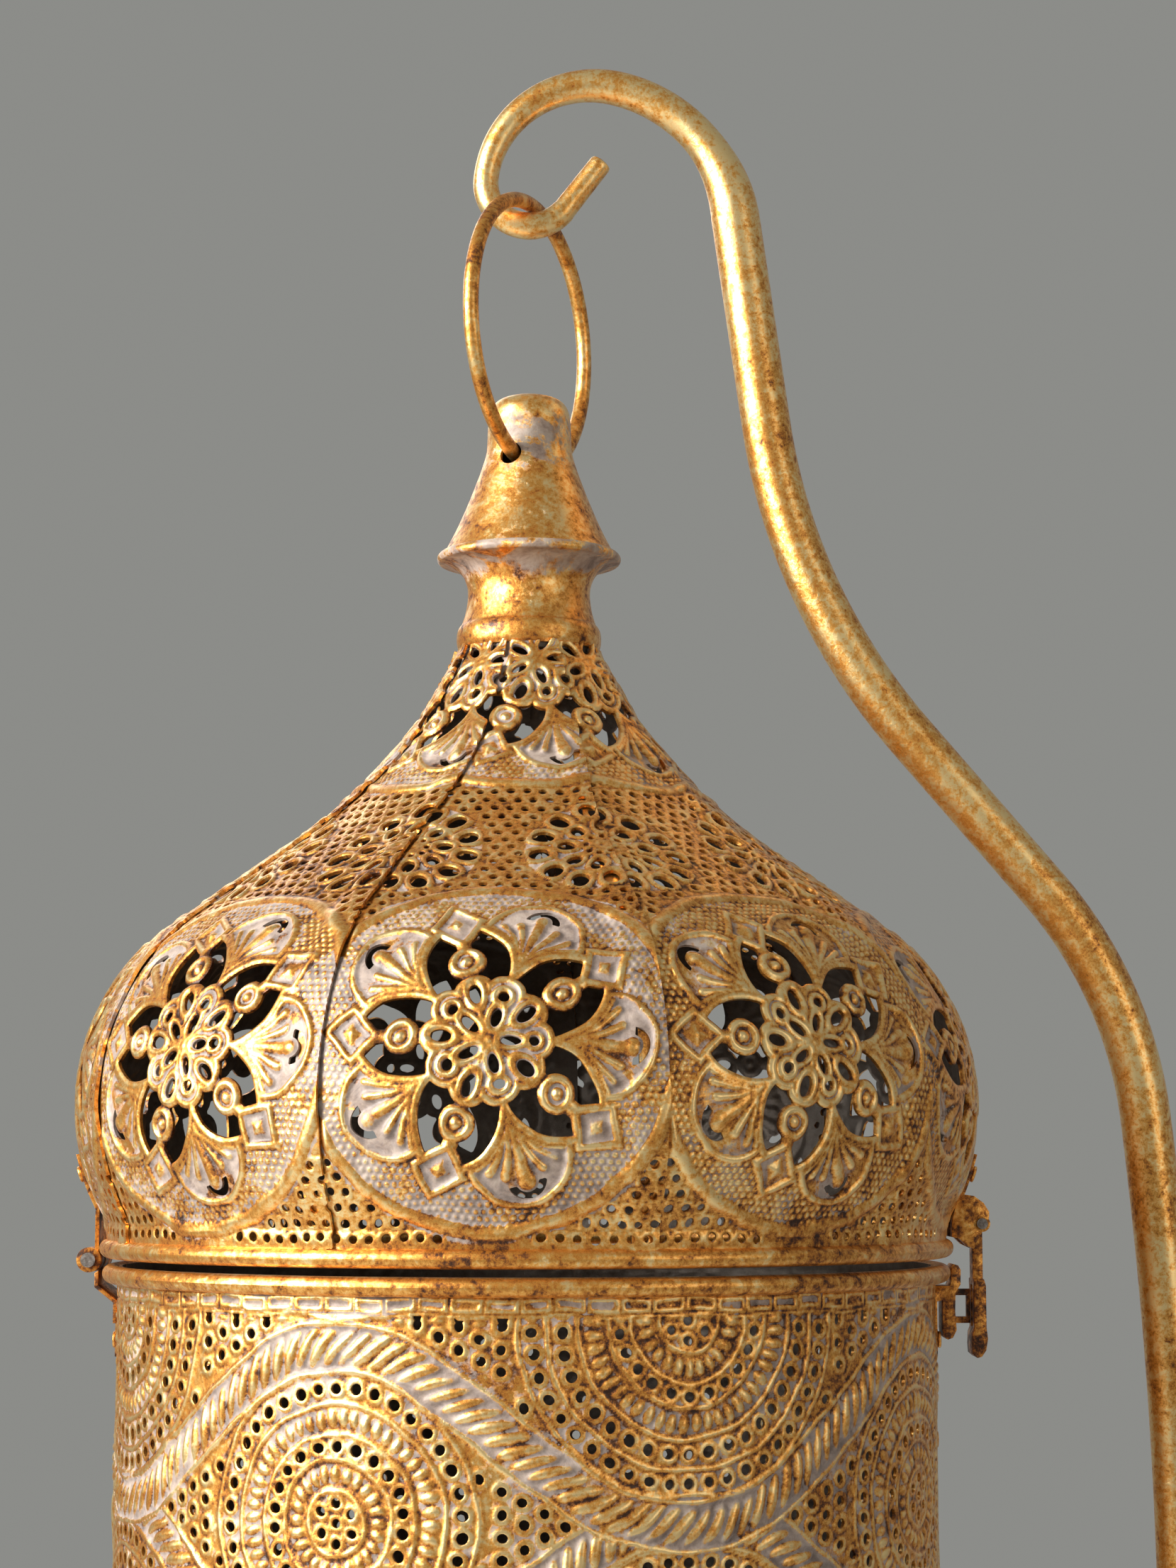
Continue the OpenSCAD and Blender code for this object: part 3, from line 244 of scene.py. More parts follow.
def put(tree, kind, inputs=None, **settings):
    """A node with its settings and inputs; an input is a value or a socket."""
    node = tree.nodes.new(kind)
    for key, value in settings.items():
        setattr(node, key, value)
    for key, value in (inputs or {}).items():
        if isinstance(value, bpy.types.NodeSocket):
            tree.links.new(value, node.inputs[key])
        else:
            node.inputs[key].default_value = value
    return node


def sums(tree, operation, a, b=0.0, clamp=False):
    return put(tree, 'ShaderNodeMath', {0: a, 1: b}, operation=operation, use_clamp=clamp).outputs[0]


def blend(tree, share, a, b, mode='MIX'):
    node = put(tree, 'ShaderNodeMix', {0: share, 6: a, 7: b}, data_type='RGBA', blend_type=mode)
    return node.outputs[2]


def between(tree, share, a, b):
    return put(tree, 'ShaderNodeMix', {0: share, 2: a, 3: b}, data_type='FLOAT').outputs[0]


def step_up(tree, value, low, high):
    """0 below low and 1 above high."""
    return put(tree, 'ShaderNodeMapRange', {'Value': value, 'From Min': low, 'From Max': high},
               interpolation_type='SMOOTHSTEP').outputs[0]


def cloud(tree, place, scale, detail=4.0, rough=0.6, drift=0.0):
    return put(tree, 'ShaderNodeTexNoise',
               {'Vector': place, 'Scale': scale, 'Detail': detail, 'Roughness': rough,
                'Distortion': drift}).outputs['Fac']


def shades(tree, value, stops):
    node = put(tree, 'ShaderNodeValToRGB', {0: value})
    ramp = node.color_ramp
    for k, (position, colour) in enumerate(stops):
        stop = ramp.elements[k] if k < 2 else ramp.elements.new(position)
        stop.position = position
        stop.color = (*colour, 1)
    return node.outputs[0]


def new_group(name, takes, gives):
    group = bpy.data.node_groups.new(name, 'ShaderNodeTree')
    for label, kind, value in takes:
        socket = group.interface.new_socket(label, in_out='INPUT', socket_type=kind)
        if value is not None:
            socket.default_value = value
    for label, kind in gives:
        group.interface.new_socket(label, in_out='OUTPUT', socket_type=kind)
    return group, group.nodes.new('NodeGroupInput').outputs, group.nodes.new('NodeGroupOutput').inputs


def gilding_group():
    """Antique gold on metal: mottled gold, brown tarnish and a pale lilac patina."""
    tree, take, give = new_group(
        "gilding",
        [("Place", 'NodeSocketVector', None), ("Tone", 'NodeSocketFloat', 0.5),
         ("Patina", 'NodeSocketFloat', 0.0), ("Raised", 'NodeSocketFloat', 0.5),
         ("Tarnish", 'NodeSocketFloat', 0.5), ("Grain", 'NodeSocketFloat', 1.0)],
        [("Colour", 'NodeSocketColor'), ("Metallic", 'NodeSocketFloat'),
         ("Roughness", 'NodeSocketFloat'), ("Height", 'NodeSocketFloat')])
    place = put(tree, 'ShaderNodeVectorMath', {0: take["Place"], 'Scale': take["Grain"]},
                operation='SCALE').outputs[0]
    broad = cloud(tree, place, 16.0, 3.0)
    mottle = cloud(tree, place, 170.0, 7.0, 0.68, 0.4)
    fleck = cloud(tree, place, 560.0, 6.0, 0.76)
    tone = 0.70
    for share, about in ((mottle, 1.1), (fleck, 0.95), (broad, 0.6), (take["Tone"], 0.5),
                         (take["Raised"], 0.45)):
        tone = put(tree, 'ShaderNodeMath', {0: sums(tree, 'SUBTRACT', share, 0.5), 1: about, 2: tone},
                   operation='MULTIPLY_ADD').outputs[0]
    tone = sums(tree, 'SUBTRACT', tone, sums(tree, 'MULTIPLY', take["Tarnish"], 0.12))
    gold = shades(tree, tone, [(0.40, (0.040, 0.012, 0.003)), (0.92, (1.0, 0.74, 0.34)),
                               (0.50, (0.17, 0.052, 0.008)), (0.61, (0.54, 0.205, 0.027)),
                               (0.76, (0.93, 0.47, 0.105))])
    rust_spots = step_up(tree, fleck, 0.60, 0.70)
    rust_share = sums(tree, 'MULTIPLY', rust_spots, sums(tree, 'MULTIPLY', take["Tarnish"], 0.8))
    gold = blend(tree, rust_share, gold, (0.13, 0.045, 0.012, 1))
    smear = cloud(tree, place, 60.0, 6.0, 0.62, 0.6)
    rubbed = step_up(tree, cloud(tree, place, 42.0, 6.0, 0.62, 0.8), 0.46, 0.60)
    lay = sums(tree, 'MULTIPLY', take["Patina"], between(tree, rubbed, 1.0, 0.42))
    lay = sums(tree, 'ADD', lay, sums(tree, 'MULTIPLY', sums(tree, 'SUBTRACT', smear, 0.5), 1.5))
    lay = sums(tree, 'ADD', lay, sums(tree, 'MULTIPLY', sums(tree, 'SUBTRACT', fleck, 0.5), 0.9))
    patina = step_up(tree, lay, 0.42, 0.72)
    patina_tint = shades(tree, mottle, [(0.32, (0.19, 0.14, 0.115)), (0.68, (0.53, 0.455, 0.41))])
    colour = blend(tree, sums(tree, 'MULTIPLY', patina, 0.92), gold, patina_tint)
    tree.links.new(colour, give["Colour"])
    bright = step_up(tree, tone, 0.45, 0.75)
    tree.links.new(between(tree, patina, between(tree, bright, 0.55, 0.92), 0.12), give["Metallic"])
    tree.links.new(between(tree, patina, between(tree, bright, 0.54, 0.33), 0.68), give["Roughness"])
    height = sums(tree, 'ADD', sums(tree, 'MULTIPLY', mottle, 0.7), sums(tree, 'MULTIPLY', fleck, 0.3))
    tree.links.new(sums(tree, 'ADD', height, sums(tree, 'MULTIPLY', patina, 0.12)), give["Height"])
    return tree


gilding = gilding_group()


def shader_material(name, metallic=0.0, roughness=0.5, **plain):
    """A material with a Principled shader. Gives its tree, the shader and the
    object's coordinates."""
    material = bpy.data.materials.new(name)
    material.use_nodes = True
    tree = material.node_tree
    shader = tree.nodes["Principled BSDF"]
    shader.inputs["Metallic"].default_value = metallic
    shader.inputs["Roughness"].default_value = roughness
    for label, value in plain.items():
        shader.inputs[label.replace("_", " ")].default_value = value
    place = tree.nodes.new('ShaderNodeTexCoord').outputs['Object']
    return material, tree, shader, place


def raise_bump(tree, shader, height, depth, strength=1.0):
    bump = put(tree, 'ShaderNodeBump', {'Height': height, 'Distance': depth, 'Strength': strength})
    tree.links.new(bump.outputs[0], shader.inputs['Normal'])


def gilded(name, tone=0.5, tarnish=0.5, patina=0.0, raised=0.5, grain=1.0, bump=0.0003,
           sheet=False):
    """A gilded finish. On a stamped sheet the patina and wear follow its relief."""
    material, tree, shader, place = shader_material(name, Coat_Weight=0.3, Coat_Roughness=0.28)
    if sheet:
        wash = put(tree, 'ShaderNodeAttribute', attribute_name="wash").outputs['Fac']
        worn = put(tree, 'ShaderNodeAttribute', attribute_name="worn").outputs['Fac']
        patina = sums(tree, 'ADD', wash, patina)
        raised = sums(tree, 'ADD', worn, raised - 0.5)
    made = put(tree, 'ShaderNodeGroup',
               {"Place": place, "Tone": tone, "Patina": patina, "Raised": raised,
                "Tarnish": tarnish, "Grain": grain}, node_tree=gilding)
    for label, given in (("Base Color", "Colour"), ("Metallic", "Metallic"), ("Roughness", "Roughness")):
        tree.links.new(made.outputs[given], shader.inputs[label])
    raise_bump(tree, shader, made.outputs["Height"], bump)
    return material


def tin_painted_shade_finish():
    material, tree, shader, place = shader_material("tin_with_painted_shade", metallic=0.75)
    broad = cloud(tree, place, 24.0, 4.0)
    fine = cloud(tree, place, 300.0, 5.0, 0.7)
    mixed = sums(tree, 'ADD', sums(tree, 'MULTIPLY', broad, 0.6), sums(tree, 'MULTIPLY', fine, 0.4))
    # dark brown, far darker than the grey tin: painted shade of the lantern's unlit inside
    colour = shades(tree, mixed, [(0.36, (0.07, 0.05, 0.036)), (0.62, (0.20, 0.175, 0.15))])
    tree.links.new(colour, shader.inputs["Base Color"])
    tree.links.new(between(tree, mixed, 0.35, 0.62), shader.inputs["Roughness"])
    raise_bump(tree, shader, fine, 0.0002)
    return material


def steel_finish():
    material, tree, shader, place = shader_material("plain_steel", metallic=1.0)
    fine = cloud(tree, place, 500.0, 6.0, 0.7)
    colour = shades(tree, fine, [(0.35, (0.16, 0.13, 0.11)), (0.65, (0.46, 0.44, 0.42))])
    tree.links.new(colour, shader.inputs["Base Color"])
    tree.links.new(between(tree, fine, 0.3, 0.55), shader.inputs["Roughness"])
    raise_bump(tree, shader, fine, 0.0001)
    return material


def felt_finish():
    material, tree, shader, place = shader_material("dark_felt", roughness=0.95, Sheen_Weight=0.4)
    fibres = cloud(tree, place, 1400.0, 6.0, 0.8, 1.5)
    colour = shades(tree, fibres, [(0.3, (0.012, 0.010, 0.009)), (0.7, (0.06, 0.052, 0.045))])
    tree.links.new(colour, shader.inputs["Base Color"])
    raise_bump(tree, shader, fibres, 0.0006)
    return material


def wax_finish():
    material, tree, shader, place = shader_material(
        "ivory_wax", roughness=0.42, Subsurface_Weight=0.35, Subsurface_Scale=0.01)
    streaks = put(tree, 'ShaderNodeMapping', {'Vector': place, 'Scale': (60.0, 60.0, 9.0)}).outputs[0]
    bloom = cloud(tree, streaks, 1.0, 5.0, 0.65, 0.3)
    colour = shades(tree, bloom, [(0.35, (0.72, 0.60, 0.40)), (0.65, (0.90, 0.82, 0.64))])
    tree.links.new(colour, shader.inputs["Base Color"])
    raise_bump(tree, shader, cloud(tree, place, 220.0, 4.0), 0.0004)
    return material


def cotton_finish():
    material, tree, shader, place = shader_material("burnt_cotton", roughness=0.9)
    twist = put(tree, 'ShaderNodeTexWave', {'Vector': place, 'Scale': 500.0, 'Distortion': 2.0},
                bands_direction='DIAGONAL').outputs['Fac']
    colour = shades(tree, twist, [(0.2, (0.012, 0.010, 0.008)), (0.8, (0.11, 0.09, 0.07))])
    tree.links.new(colour, shader.inputs["Base Color"])
    raise_bump(tree, shader, twist, 0.0004)
    return material


dome_gold = gilded("dome_gold", tone=0.58, tarnish=0.5, patina=0.12, sheet=True)
drum_gold = gilded("drum_gold", tone=0.6, tarnish=0.45, patina=0.2, sheet=True)
cap_gold = gilded("cap_gold", tone=0.62, tarnish=0.45, patina=0.25, bump=0.00035, sheet=True)
collar_gold = gilded("collar_gold", tone=0.6, tarnish=0.5, patina=0.25, bump=0.00035, sheet=True)
wire_gold = gilded("wire_gold", tone=0.6, tarnish=0.5, patina=0.2)
pole_gold = gilded("pole_gold", tone=0.72, tarnish=0.1, patina=-0.3, grain=1.6, bump=0.0002)
fitting_gold = gilded("fitting_gold", tone=0.42, tarnish=0.8, patina=0.05)
base_gold = gilded("base_gold", tone=0.45, tarnish=0.7, patina=0.0, grain=0.7, bump=0.0005)
tin_painted_shade = tin_painted_shade_finish()
steel = steel_finish()
felt = felt_finish()
wax = wax_finish()
cotton = cotton_finish()


# ---- Stamped ornament ----

def bead(distance, half_width):
    """Round raised line or dome: 1 on its middle, 0 past its half width."""
    return np.clip(1 - (distance / half_width) ** 2, 0, None) ** 0.75


def ramp(value, low, high):
    t = np.clip((value - low) / (high - low), 0, 1)
    return t * t * (3 - 2 * t)


def near_line(x, y, start, end):
    """Distance to a straight line, and the share of it walked at the nearest place."""
    (ax, ay), (bx, by) = start, end
    dx, dy = bx - ax, by - ay
    t = np.clip(((x - ax) * dx + (y - ay) * dy) / (dx * dx + dy * dy), 0, 1)
    return np.hypot(x - ax - t * dx, y - ay - t * dy), t


def tapered(x, y, path, thin, thick):
    """A raised rib along a path, that grows from thin to thick half widths."""
    best = np.zeros(x.shape)
    count = len(path) - 1
    for k in range(count):
        distance, t = near_line(x, y, path[k], path[k + 1])
        half = thin + (thick - thin) * (k + t) / count
        best = np.maximum(best, bead(distance, half))
    return best


def hand_made(x, y, seed):
    """Slightly uneven coordinates, as of a sheet that was stamped by hand."""
    across = (0.34 * np.sin(0.19 * y + 0.11 * x + seed)
              + 0.2 * np.sin(0.43 * x - 0.29 * y + 2.1 * seed))
    upward = (0.34 * np.sin(0.17 * x - 0.13 * y + 1.7 * seed)
              + 0.2 * np.sin(0.39 * y + 0.31 * x + 0.6 * seed))
    return x + across, y + upward


def fold(x, y, count, first):
    """Turns every sector of a rosette onto the first one. The sector's axis is u."""
    step = 2 * math.pi / count
    angle = np.arctan2(y, x) - math.radians(first)
    angle = (angle + step / 2) % step - step / 2
    radius = np.hypot(x, y)
    return radius * np.cos(angle), radius * np.sin(angle)


FAR = 99.0                                       # gap of a place far from all openings


class Sheet:
    """A stamped sheet: height of its relief, gap to the nearest opening (below
    zero inside one), and wash, how much pale patina lies on it. In mm."""

    def __init__(self, x, y):
        self.x, self.y = x, y
        self.height = np.zeros(x.shape)
        self.gap = np.full(x.shape, FAR)
        self.wash = np.zeros(x.shape)

    def clear(self, where, wash=None):
        """Makes the sheet plain there, with its patina kept or set to wash."""
        self.gap = np.where(where, FAR, self.gap)
        self.height = np.where(where, 0.0, self.height)
        if wash is not None:
            self.wash = np.where(where, wash, self.wash)

    def raise_to(self, height, where=True):
        self.height = np.where(where, np.maximum(self.height, height), self.height)

    def lay(self, height, where):
        self.height = np.where(where, height, self.height)

    def pierce(self, distance, where=True):
        """distance is below zero inside the opening."""
        self.gap = np.where(where, np.minimum(self.gap, distance), self.gap)

    def patina(self, amount, where=True):
        self.wash = np.where(where, np.maximum(self.wash, amount), self.wash)


CIRCLE_R, CIRCLE_STRETCH = 54.2, 1.025           # the medallion's ring is a little tall
BOSS_FIRST = 33.5                                # degrees to its first boss
ROSETTE_R, ROSETTE_STRETCH = 22.4, 1.12
MEDALLIONS = ((0, 55), (4.5, 228))
ROSETTES = ((-28.5, 137), (28.5, 137))


def medallion(sheet, cx, cy):
    """The large flower medallion of a gore."""
    x, y = sheet.x - cx, (sheet.y - cy) / CIRCLE_STRETCH
    r = np.hypot(x, y)
    inside = r < CIRCLE_R - 1.6
    sheet.clear(r < CIRCLE_R + 2.2)
    u, v = fold(x, y, 5, BOSS_FIRST)            # axis through a boss
    p, q = fold(x, y, 5, BOSS_FIRST + 36)       # axis through a palmette
    v, q = np.abs(v), np.abs(q)

    # star: lobes round the palmettes, and the diamonds
    lobe = (np.hypot((p - 34.2) / 13.6, q / 14.8) - 1) * 13.8
    lobe = np.where(p > 0, lobe, FAR)
    diamond = (np.abs(u - 38.8) / 8.8 + v / 8.4 - 1) * 6.0
    star = np.minimum(np.minimum(lobe, diamond), r - 36)

    # stippled field between the star and the circle
    field = inside & (star > 0.6)
    pitch, row_pitch = 2.3, 2.0
    row = np.round(y / row_pitch)
    dot_x = (x / pitch + 0.5 * (row % 2)) % 1 - 0.5
    dots = np.hypot(dot_x * pitch, y - row * row_pitch)
    sheet.lay(0.65 * bead(dots, 0.98), field)
    sheet.patina(0.7, field)
    sheet.raise_to(1.1 * bead(r - CIRCLE_R, 2.3))
    sheet.patina(0.9, np.abs(r - CIRCLE_R + 2.9) < 0.9)
    sheet.patina(0.7, np.abs(r - CIRCLE_R - 2.6) < 0.7)

    # leaf openings: the outer arc, less the boss, the diamond and the disc
    arc = np.hypot(u - 22.6, v + 4.4) - 17.5
    lobes = np.minimum(np.hypot(u - 13.3, v), np.hypot(p - 13.3, q)) - 4.9
    lobes = np.minimum(lobes, r - 14)
    boss = np.hypot(u - 24.5, v) - 4.7
    leaf = np.maximum.reduce([arc + 1.45, 0.6 - boss, 0.5 - diamond, 1.1 - lobes, 2.1 - v])
    sheet.pierce(leaf, inside)
    sheet.raise_to(1.0 * bead(arc + 0.3, 1.5),
                   inside & (u > 15) & (lobes > 0) & (boss > 0) & (diamond > 0))

    # palmettes
    fan = inside & (lobe < 0) & (arc > 0.7) & (diamond > 0) & (lobes > 0.4)
    sheet.patina(0.95, fan)
    sheet.lay(np.where(arc < 1.5, sheet.height, 0.0), fan)
    ribs = [([(21, 0.0), (30, 0.0), (40.6, 0.0)], 0.9, 2.5),
            ([(25, 0.7), (31, 2.5), (37.6, 5.6)], 0.75, 1.55),
            ([(27, 1.9), (31.5, 5.3), (35.8, 9.9)], 0.75, 1.45),
            ([(29.4, 4.6), (32.2, 8.4), (34.0, 12.6)], 0.6, 1.15)]
    for path, thin, thick in ribs:
        sheet.raise_to(1.05 * tapered(p, q, path, thin, thick), fan)
    sheet.raise_to(1.25 * bead(np.hypot(p - 40.2, q), 2.6), fan)
    around = np.hypot(p - 40.4, q)
    sheet.pierce(np.maximum(np.abs(around - 4.2) - 1.15, 41.0 - p), inside & (p > 30))
    sheet.raise_to(1.0 * bead(lobe + 0.6, 1.25), inside & (p > 33) & (diamond > -0.5))

    # diamonds
    sheet.lay(0.0, inside & (diamond < 0))
    sheet.patina(0.9, inside & (diamond < -1.5))
    sheet.raise_to(1.0 * bead(diamond + 0.8, 1.3), inside)
    pyramid = 1 - (np.abs(u - 38.8) + v * 1.02) / 3.8
    sheet.raise_to(1.3 * np.clip(pyramid, 0, 1), inside)

    # bosses
    sheet.lay(0.05, inside & (boss < 0))
    sheet.patina(0.8, inside & (boss < -1.5) & (boss > -3.2))
    sheet.raise_to(1.15 * bead(boss + 0.95, 1.35), inside)
    sheet.raise_to(1.3 * bead(boss + 4.7, 1.85), inside)
    sheet.raise_to(0.9 * bead(v, 1.8), inside & (u > 28.4) & (u < 31.6))

    # flower in the middle
    disc = inside & (lobes < 0)
    sheet.lay(0.0, disc)
    sheet.patina(0.85, disc)
    sheet.raise_to(1.0 * bead(lobes + 0.1, 1.25), inside)
    outer = (np.hypot((u - 13.4) / 3.2, v / 1.9) - 1) * 2.3
    inner = (np.hypot((p - 6.6) / 3.1, q / 1.5) - 1) * 1.9
    small = np.hypot(p - 13.0, q) - 1.6
    for opening, width in ((outer, 1.35), (inner, 1.15), (small, 1.1)):
        sheet.raise_to(1.1 * bead(opening - width * 0.8, width), disc)
        sheet.pierce(opening + 0.1, disc)
    sheet.raise_to(0.95 * bead(near_line(u, v, (2.4, 0), (8.6, 0))[0], 1.1), disc)
    sheet.raise_to(1.2 * bead(r, 2.1))


def rosette(sheet, cx, cy):
    """Small rosette of openings between the medallions."""
    x, y = sheet.x - cx, (sheet.y - cy) / ROSETTE_STRETCH
    r = np.hypot(x, y)
    u, v = fold(x, y, 12, 15)
    p, q = fold(x, y, 8, 0)
    near = r < ROSETTE_R
    sheet.clear(near)
    petal = (np.hypot((u - 18.2) / 3.3, v / 2.6) - 1) * 2.9
    inner = (np.hypot((p - 10.2) / 2.7, q / 1.9) - 1) * 2.2
    eye = np.hypot(p - 4.6, q) - 0.9
    for opening, width in ((petal, 1.3), (inner, 1.1), (eye, 0.8)):
        sheet.raise_to(0.95 * bead(opening - width * 0.8, width), near)
        sheet.pierce(opening, near)
    sheet.raise_to(0.9 * bead(r - 1.8, 1.6), near)
    sheet.patina(0.5, near & (petal > 1.6) & (inner > 1.4))
    sheet.raise_to(0.7 * bead(r - 13.9, 0.9), near)


def gore_pattern(x, y, seed):
    """The ornament of one gore. x runs across it, y up it from the rim."""
    x, y = hand_made(x, y, seed)
    sheet = Sheet(x, y)
    pitch_x, pitch_y, hole, first = 4.9, 4.5, 1.3, -2.4
    row = np.round((y - first) / pitch_y)
    col = np.round(x / pitch_x - 0.5 * (row % 2))
    hx, hy = (col + 0.5 * (row % 2)) * pitch_x, row * pitch_y + first
    clear = np.minimum(*[np.hypot(hx - cx, (hy - cy) / CIRCLE_STRETCH) for cx, cy in MEDALLIONS])
    lattice = np.minimum(*[np.hypot(hx - cx, (hy - cy) / ROSETTE_STRETCH) for cx, cy in ROSETTES])
    punched = (clear - CIRCLE_R > 3.4) & (lattice - 21.6 > 2.2)
    d = np.hypot(x - hx, y - hy)
    sheet.pierce(np.where(punched, d - hole, FAR))
    sheet.raise_to(0.45 * bead(d - hole - 0.8, 1.0), punched)
    sheet.raise_to(0.2 * bead(d, 2.6), ~punched)
    sheet.patina(0.3, punched & (d > hole + 1.3))
    for centre in ROSETTES:
        rosette(sheet, *centre)
    for centre in MEDALLIONS:
        medallion(sheet, *centre)
    return sheet


def blurred(values, passes):
    """Each pass averages every point with its neighbours."""
    for _ in range(passes):
        padded = np.pad(values, 1, mode='edge')
        values = (padded[:-2, 1:-1] + padded[2:, 1:-1] + padded[1:-1, :-2] + padded[1:-1, 2:]
                  + 2 * padded[1:-1, 1:-1]) / 6
    return values


def finish_layers(sheet, step):
    """Wash lies in the hollows of the relief, and its ridges are worn bright."""
    passes = max(2, int(5 / step))
    ridge = sheet.height - blurred(sheet.height, passes)
    wash = blurred(sheet.wash, 2) + np.clip(-ridge, 0, 0.5) * 0.5 - np.clip(sheet.height, 0, 1) * 0.75
    worn = 0.5 + np.clip(ridge, -0.5, 0.6) * 1.2
    return {"wash": wash, "worn": worn}


# ---- Dome ----

BULGE_R, BULGE_IN, BULGE_H = 70.0, 73.5, 45.0
BULGE_LOW, BULGE_HIGH = math.radians(-32), math.radians(55)
FLANK_LEN, THROAT_R, THROAT_LEN = 38.0, 203.0, 88.58
BULGE_LEN = BULGE_R * (BULGE_HIGH - BULGE_LOW)
SIDE_LEN = BULGE_LEN + FLANK_LEN + THROAT_LEN
SHEET_T = 0.9


def dome_profile(s):
    """Radius, height and outward normal of the dome, s mm up its side."""
    phi = BULGE_LOW + s / BULGE_R
    top = np.array([BULGE_IN + BULGE_R * math.cos(BULGE_HIGH), BULGE_H + BULGE_R * math.sin(BULGE_HIGH)])
    up = np.array([-math.sin(BULGE_HIGH), math.cos(BULGE_HIGH)])
    out = np.array([math.cos(BULGE_HIGH), math.sin(BULGE_HIGH)])
    centre = top + FLANK_LEN * up + THROAT_R * out
    lean = BULGE_HIGH - (s - BULGE_LEN - FLANK_LEN) / THROAT_R
    last = BULGE_HIGH - THROAT_LEN / THROAT_R
    end = centre - THROAT_R * np.array([math.cos(last), math.sin(last)])
    foot = np.array([BULGE_IN + BULGE_R * math.cos(BULGE_LOW), BULGE_H + BULGE_R * math.sin(BULGE_LOW)])
    zones = [s < 0, s < BULGE_LEN, s < BULGE_LEN + FLANK_LEN, s < SIDE_LEN]
    along = s - BULGE_LEN
    r = np.select(zones, [foot[0] + 0.07 * s, BULGE_IN + BULGE_R * np.cos(phi), top[0] + along * up[0],
                          centre[0] - THROAT_R * np.cos(lean)], end[0] - 0.25 * (s - SIDE_LEN))
    z = np.select(zones, [foot[1] + 0.997 * s, BULGE_H + BULGE_R * np.sin(phi), top[1] + along * up[1],
                          centre[1] - THROAT_R * np.sin(lean)], end[1] + 0.97 * (s - SIDE_LEN))
    facing = np.select(zones, [0 * s, phi * ramp(s, 0, 4), 0 * s + BULGE_HIGH, lean], 0 * s + last)
    return r, z, np.cos(facing), np.sin(facing)


# How much of its pale patina each gore keeps, from the front gore to its right. Partly the real patchy
# patina, and partly painted shade: gores 2 and 3, right of the front, keep less of it and show darker
# amber, as the lantern's shaded right side does.
GORE_PATINA_AND_SHADE = (1.0, 0.5, 0.6, 0.9, 0.8, 1.0, 0.8, 0.9, 0.95)


# In degrees: the front gore's middle, then a gore's free edge, its covered edge, the
# seam where the next one covers it, their overlap and how far its top leans round.
GORE_TURN, GORE_FIRST = 40, -93.5
FREE_EDGE, COVERED_EDGE, SEAM, OVERLAP, TOP_LEAN = 20.5, 22.8, 19.5, 3.3, 6.7
GORE_FOOT, GORE_HEAD = -6.0, 235.4               # mm up the side


def from_hinge_or_hasp(place, radius):
    """Distance round the lantern to its hinge at the left or its hasp at the right."""
    return np.minimum(np.abs(np.angle(np.exp(1j * (place - math.pi)))),
                      np.abs(np.angle(np.exp(1j * place)))) * radius


def gore_piece(number, step):
    """A gore of stamped sheet. Its right edge laps over the next gore."""
    middle = math.radians(GORE_FIRST + GORE_TURN * (number - 1))
    x, s = np.meshgrid(np.arange(-58, 53 + step, step), np.arange(-6.6, 236, step))
    sheet = gore_pattern(x, s, float(number))
    # less pale patina on the right-hand gores: partly painted shade
    sheet.wash *= GORE_PATINA_AND_SHADE[number - 1]
    r, z, nr, nz = dome_profile(s)
    turn = x / r
    lean = math.radians(TOP_LEAN) * ramp(s, 140, 225)
    free_edge = (math.radians(FREE_EDGE) + lean - turn) * r
    covered_edge = (turn - lean + math.radians(COVERED_EDGE)) * r
    seam = (turn - lean + math.radians(SEAM)) * r
    overlap = math.radians(OVERLAP) * r
    sheet.height *= ramp(seam, 0.2, 1.8) * ramp(s, -5, -2)
    place = turn + middle
    # plain, and tight on the rim, where the hinge's leaf and the hasp's bracket sit
    beside = from_hinge_or_hasp(place, r)
    fitted = 1 - ramp(np.maximum(beside - 12, s - 21), 0, 6)
    sheet.height *= 1 - fitted
    sunk = 1.2 * ramp(s, -4, 6) * (1 - ramp(s, 205, 230)) * (1 - fitted)
    waves = 0.35 * np.sin(s * 0.11 + number) * (1 - ramp(free_edge, 0, 14)) * ramp(s, 0, 30)
    lift = (1.0 + np.clip(waves, 0, 1)) * (1 - ramp(free_edge, overlap, overlap + 6))
    height = blurred(sheet.height, 1)
    outer = height + lift - sunk
    inner = 0.7 * height + lift - sunk - SHEET_T
    gap = np.minimum.reduce([sheet.gap, free_edge, covered_edge, s - GORE_FOOT, GORE_HEAD - s])

    def skin(offset):
        radius = r + offset * nr
        return np.stack([radius * np.cos(place), radius * np.sin(place), z + offset * nz], -1)

    node = "dome_gore_%d" % number
    return cut_sheet(node + "_stamped", gap, skin(outer), skin(inner), finish_layers(sheet, step),
                     materials=[dome_gold, tin_painted_shade], body="lid", slot="embossed_gold", replaces=(node,))


FINE, COARSE = 0.5, 0.8
for number in range(1, 10):
    gore_piece(number, FINE if number in (1, 2, 9) else COARSE)


# ---- Drum ----

DRUM_R = 128.5
DRUM_TOP, DRUM_LOW = -5.6, -302.2
COLUMN_PITCH = DRUM_R * math.pi / 2
ROW_PITCH = 55.5
FIRST_ROW = -17.4
WAVE_LOW_R, WAVE_HIGH_R = 48.3, 56.5


